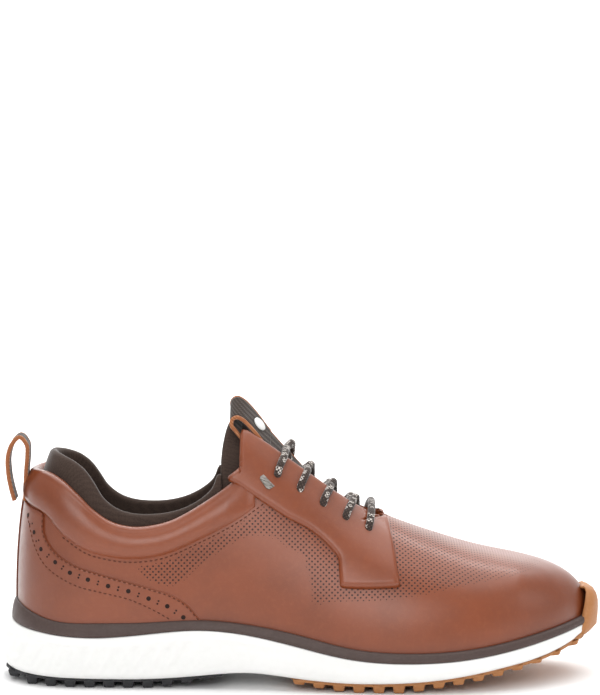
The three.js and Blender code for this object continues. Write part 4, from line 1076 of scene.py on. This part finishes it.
# a plain round badge on the loop
badge = {"at": 0.27, "radius": 3.7}
mesh = bmesh.new()
bmesh.ops.create_circle(mesh, cap_ends=True, segments=40, radius=badge["radius"] / 1000)
bmesh.ops.inset_region(mesh, faces=mesh.faces[:], thickness=0.0005)
top = [f for f in mesh.faces if len(f.verts) > 4]
bmesh.ops.translate(mesh, verts=list({v for f in top for v in f.verts}), vec=(0, 0, 0.00035))
bmesh.ops.inset_region(mesh, faces=top, thickness=0.0008)
top = [f for f in mesh.faces if len(f.verts) > 4]
bmesh.ops.translate(mesh, verts=list({v for f in top for v in f.verts}), vec=(0, 0, -0.00018))
k = int(badge["at"] * 80)
lengthways = Vector(centres[k + 2] - centres[k - 2]).normalized()
edgeways = Vector((0, -math.cos(lean), -math.sin(lean)))
normal = lengthways.cross(edgeways).normalized()
if normal.z < 0:
    normal.negate()
edgeways = normal.cross(lengthways)
turn = Matrix((lengthways, edgeways, normal)).transposed().to_4x4()
turn.translation = placed(Vector(centres[k]) + normal * 1.0)
bmesh.ops.transform(mesh, matrix=turn, verts=mesh.verts)
outward(mesh)
piece = newPiece("tongueBadge", mesh, [whiteMark], "tongue_flap")
addModifier(piece, "SOLIDIFY", thickness=0.0007, offset=1)
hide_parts("tongue_badge")

# heel pull loop
heelPull = {"half": 6.4, "thickness": 1.8}
low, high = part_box("heel_loop")
back, front = (v.x * 1000 - heelX for v in (low, high))
bottom, top = low.z * 1000, high.z * 1000
reach = heelPull["thickness"] / 2
pull = [(front - 2.6, bottom + 1), (front - 2.2, bottom + 8), (front - 1.9, bottom + 16),
        (front - 1.2, bottom + 24), (front - 1.5, top - 5), (front - 5, top - reach - 0.1),
        (back + 3.2, top - 4.4), (back + reach, top - 11),
        (back + reach + 0.2, bottom + 14), (back + 2.4, bottom + 7), (back + 4, bottom + 1)]
pullLine = smoothLine([(x, 0, z) for x, z in pull], 80)
addStrap("heelPull", pullLine, np.tile([0.0, -1.0, 0.0], (80, 1)), heelPull["half"], heelPull["thickness"],
         "heel_pull", "heel_loop")
print("straps made")


# lace: one cord through every eyelet, in the CAD's own route
lace = {"radius": 1.95, "rows": 5, "topX": 140.5, "pitch": 11.4, "reach": {lateral: 27.5, medial: 25.5},
        "inside": -4.4, "outside": 3.9, "under": 13, "over": 15.7, "plate": 1.3}


def eyeletAt(row):
    return lace["topX"] + row * lace["pitch"]


def over(x, side, distance, depth):
    return fromRidge(x, side, distance, depth)


def throughHole(row, side):
    x, reach = eyeletAt(row), lace["reach"][side]
    lift = lace["plate"] if row == 0 else 0
    return [over(x, side, reach - 2.6, lace["outside"] + lift), over(x, side, reach + 0.2, (lift - 0.5) / 2),
            over(x, side, reach - 2.6, lace["inside"])]


def crossing(row, side, overOther):
    lowest = -7.6 + 1.2 + 2 + (2.6 if row == 0 else 0)
    middle = lowest + 4.9 if overOther else lowest
    shoulder = middle - 1.8 if overOther else middle
    x = eyeletAt(row) + lace["pitch"] / 2
    drift = 5.7 / 27.5
    near, far = lace["under"], lace["over"]
    return [over(x + drift * near, side, near, lace["inside"]), over(x + drift * 6, side, 6, shoulder),
            over(x, side, 0, middle), over(x - drift * 6, -side, 6, shoulder),
            over(x - drift * far, -side, far, lace["outside"])]


def looseEnd(side):
    x, reach, lift = eyeletAt(0), lace["reach"][side], lace["plate"]
    inside = lace["inside"]
    return [over(x, side, reach - 2.6, lace["outside"] + lift), over(x, side, reach - 0.3, 1 + lift),
            over(x, side, reach - 0.7, -1.5),
            over(x + 1, side, reach + 1.6, inside), over(x + 5.5, side, reach + 5.6, inside),
            over(x + 12, side, reach + 6.5, inside), over(x + 20, side, reach + 6.5, inside)]


def zigzag(start, overOther):
    points, side = looseEnd(start)[::-1], start
    for row in range(lace["rows"] - 1):
        points += crossing(row, -side, overOther(row))[::-1]
        side = -side
        points += throughHole(row + 1, side)[::-1]
    return points, side


first, endSide = zigzag(lateral, lambda row: row % 2 == 0)
second, otherSide = zigzag(medial, lambda row: row % 2 == 1)
barX = eyeletAt(4) + 0.5
bar = [over(barX, endSide, lace["over"], 4.2), over(barX + 0.6, endSide, 0, 2.9),
       over(barX, otherSide, lace["over"], 4.2)]
laceLine = smoothLine(first + bar + second[::-1], 900)
step = float(np.linalg.norm(laceLine[1] - laceLine[0]))
print("lace length", round(step * 899), "mm")


def tubeMesh(line, radius, sides):
    tangent = np.gradient(line, axis=0)
    tangent /= np.linalg.norm(tangent, axis=1)[:, None]
    up = np.cross(tangent[0], [0, 0, 1.0])
    rings = []
    turn = np.linspace(0, 2 * math.pi, sides + 1)
    for p, t in zip(line, tangent):
        up = up - t * np.dot(up, t)
        up /= np.linalg.norm(up)
        sideways = np.cross(t, up)
        rings.append(p + radius * (np.cos(turn)[:, None] * up + np.sin(turn)[:, None] * sideways))
    lengthways, around = (np.arange(len(line)) * step)[:, None], (turn / (2 * math.pi))[None, :]
    uv = np.stack(np.broadcast_arrays(lengthways, around), -1)
    mesh = gridMesh(np.array(rings), uv)
    weld(mesh, 0.003)
    bmesh.ops.holes_fill(mesh, edges=[e for e in mesh.edges if e.is_boundary], sides=0)
    outward(mesh)
    return mesh


piece = newPiece("laceCord", tubeMesh(laceLine, lace["radius"], 14), [laceCord])
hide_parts("lace")


# stitches: short plump threads laid along a line, all in one mesh
def stitchMesh(routes, length=1.7, thick=0.36, gap=2.6):
    meshes = []
    for at, out in routes:
        walked = lengthAlong(at)
        spots = np.arange(gap / 2, walked[-1], gap)
        for d in spots:
            p = np.array([np.interp(d, walked, at[:, k]) for k in range(3)])
            q = np.array([np.interp(min(d + 0.5, walked[-1]), walked, at[:, k]) for k in range(3)])
            n = Vector([float(np.interp(d, walked, out[:, k])) for k in range(3)]).normalized()
            along = Vector(q - p)
            if along.length < 1e-5:
                continue
            along = (along - n * along.dot(n)).normalized()
            across = n.cross(along)
            one = bmesh.new()
            bmesh.ops.create_uvsphere(one, u_segments=6, v_segments=5, radius=1)
            basis = Matrix((across * thick, n * thick, along * length / 2)).transposed().to_4x4()
            bmesh.ops.transform(one, matrix=basis, verts=one.verts)
            bmesh.ops.translate(one, verts=one.verts, vec=Vector(p))
            for v in one.verts:
                v.co = placed(v.co)
            meshes.append(one)
    return joined(meshes)


def onLine(line, side, depth):
    return onLast(line[:, 0], line[:, 1], side, depth), normalOf(line[:, 0], line[:, 1], side)


def inset(line, towards, distance, side):  # a line moved along the surface towards another
    a = onLast(line[:, 0], line[:, 1], side)
    b = onLast(towards[:, 0], towards[:, 1], side)
    t = np.clip(distance / np.maximum(np.linalg.norm(b - a, axis=1), 0.5), 0, 0.45)[:, None]
    return line * (1 - t) + towards * t


innerSeam = [(16, 84), (17.4, 79), (19.6, 71), (24, 62.6), (29.3, 57.8), (41, 51.8), (53.8, 48.6),
             (67.6, 45.2), (79.3, 40), (88.4, 34.8)]
routes = []
for side in (lateral, medial):
    drop = eyestay["medialDrop"] if side == medial else 0
    rear, front = stayLines[side]
    for distance in (1.3, 2.9):
        routes.append(onLine(inset(rear, front, distance, side), side, 1.0))
    routes.append(onLine(inset(front, rear, 1.6, side)[3:], side, 1.0))
    for height in (54.4, 60.6):
        across = shares(sideLine([(175.6, height), (187, height - 0.3), (198, height)], side, 24, drop), side)
        routes.append(onLine(across, side, 1.0))
    edge = foxingLine[side]
    routes.append(onLine(inset(edge[12:], foxingFoot(edge)[12:], 1.3, side), side, 1.0))
    routes.append(onLine(shares(sideLine(innerSeam, side, 90), side), side, 1.0))
    seam = shares(sideLine([(x, z - 1.7) for x, z in lines["collarSeam"][3:]], side, 90), side)
    routes.append(onLine(seam, side, 0.05))
mesh = stitchMesh(routes)
outward(mesh)
piece = newPiece("stitches", mesh, [threadBrown])
print("lace and stitches made")

# brogue holes along the foxing: large ones with pairs of small ones between, drawn as dark discs of painted
# shade
brogue = {"holes": [(16.5, 84.2), (19.8, 76.6), (23.4, 68.8), (30.7, 63.1), (38, 58.3), (46.9, 55.1),
                    (56.9, 52), (67, 49.5), (77, 45.8), (86.3, 41.9), (94.3, 36.3)],
          "big": 1.15, "small": 0.52}
meshes = []
for side in (lateral, medial):
    marks = [(x, z, brogue["big"]) for x, z in brogue["holes"]]
    for (x0, z0), (x1, z1) in zip(brogue["holes"][:-1], brogue["holes"][1:]):
        dx, dz = x1 - x0, z1 - z0
        size = math.hypot(dx, dz)
        nx, nz = -dz / size, dx / size
        for along, off in ((0.5, 0.75), (0.5, -0.75)):
            marks.append((x0 + dx * along + nx * off, z0 + dz * along + nz * off, brogue["small"]))
    for x, z, radius in marks:
        u = float(stationAt(x, z, side))
        s = float(shareOf(u, z, side))
        p = onLast(u, s, side, 1.16)
        n = Vector(normalOf(np.array([u]), np.array([s]), side)[0]).normalized()
        one = bmesh.new()
        bmesh.ops.create_circle(one, cap_ends=True, segments=14 if radius > 1 else 8, radius=radius)
        bmesh.ops.inset_region(one, faces=one.faces[:], thickness=radius * 0.2, depth=-0.08)
        bmesh.ops.transform(one, matrix=n.to_track_quat("Z", "Y").to_matrix().to_4x4(), verts=one.verts)
        bmesh.ops.translate(one, verts=one.verts, vec=Vector(p))
        for v in one.verts:
            v.co = placed(v.co)
        meshes.append(one)
mesh = joined(meshes)
piece = newPiece("brogueHoles", mesh, [holeShade])
print("brogue holes made")

footbed = {"inside": 5.2, "bottom": 2.8, "top": 7.6}
levels = [(-14, lambda x: randBottomAt(x) + footbed["bottom"])]
for inward, rise in ((0.6, 0), (0.15, 0.3), (0, 1.0), (0.1, 3.4), (0.7, 4.4), (1.8, 4.8)):
    levels.append(((lambda x, inward=inward: -insetAt(x) - footbed["inside"] - inward),
                   (lambda x, rise=rise: randBottomAt(x) + footbed["bottom"] + rise)))
levels.append((-14, lambda x: randBottomAt(x) + footbed["top"]))
piece = newPiece("footbedPad", wallMesh(levels, 3), [footbedKnit])
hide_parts("footbed")
print("footbed made")


# materials for the CAD bodies that stay as they are
kept = {"backstay": darkWeb, "heel_counter": boardFibre, "toe_puff": boardFibre, "insole_board": boardFibre,
        "shank": steelStrip, "heel_cushion": gelPad, "aglet_lateral": plateMetal, "aglet_medial": plateMetal,
        "eyelet_plate_lateral": plateMetal, "eyelet_plate_medial": plateMetal}
for name, material in kept.items():
    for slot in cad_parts[name].material_slots:
        slot.material = material
print("CAD bodies given materials")


# camera, floor and light
centre = (cadBox[0] + cadBox[1]) / 2
view = {"distance": 1.6, "elevation": 10.0, "aimAbove": 3.44, "lens": 162.8}
camera = bpy.data.objects.new("camera", bpy.data.cameras.new("camera"))
bpy.context.scene.collection.objects.link(camera)
rise = math.radians(view["elevation"])
camera.location = centre + Vector((0, -math.cos(rise), math.sin(rise))) * view["distance"]
camera.rotation_euler = (math.radians(90 - view["elevation"] + view["aimAbove"]), 0, 0)
camera.data.lens = view["lens"]
camera.data.sensor_width = 36
camera.data.clip_end = 100
bpy.context.scene.camera = camera

floorMesh = bmesh.new()
bmesh.ops.create_grid(floorMesh, x_segments=8, y_segments=160, size=6)
sweep = {"from": 2.2, "radius": 0.9}
for vert in floorMesh.verts:  # the paper rises behind the shoe in a wide curve
    beyond = vert.co.y - sweep["from"]
    if beyond > 0:
        angle = min(beyond / sweep["radius"], math.pi / 2)
        straight = max(0, beyond - sweep["radius"] * math.pi / 2)
        vert.co.y = sweep["from"] + sweep["radius"] * math.sin(angle)
        vert.co.z = sweep["radius"] * (1 - math.cos(angle)) + straight
floorData = bpy.data.meshes.new("floor")
floorMesh.to_mesh(floorData)
floorMesh.free()
floor = bpy.data.objects.new("floor", floorData)
paper = moulded("floorPaper", srgb(250, 250, 250), srgb(246, 246, 246), roughness=0.9, speck=60, bump=0.01)
floorData.materials.append(paper)
bpy.context.scene.collection.objects.link(floor)

world = bpy.data.worlds.new("studio")
bpy.context.scene.world = world
world.use_nodes = True
world.node_tree.nodes["Background"].inputs[0].default_value = (1, 1, 1, 1)
world.node_tree.nodes["Background"].inputs[1].default_value = 0.55


def softLight(name, place, aim, size, power, tint=(1, 1, 1)):
    data = bpy.data.lights.new(name, "AREA")
    data.shape = "RECTANGLE"
    data.size, data.size_y = size
    data.energy = power
    data.color = tint
    light = bpy.data.objects.new(name, data)
    light.location = place
    light.rotation_euler = (Vector(aim) - Vector(place)).to_track_quat("-Z", "Y").to_euler()
    bpy.context.scene.collection.objects.link(light)


softLight("overhead", (0, 0.4, 2.4), (0, 0.2, 0), (3.2, 3.2), 60)
softLight("front", (-0.2, -1.3, 0.75), (0, 0, 0.06), (0.9, 0.6), 6)
softLight("backdrop", (0, 1.4, 2.2), (0, 3, 0.3), (3, 0.8), 70)
softLight("toeSide", (1.2, -0.4, 0.6), (0.1, 0, 0.05), (0.5, 0.6), 1.2)
bpy.context.scene.view_settings.view_transform = "Standard"

print("camera, floor and light made")
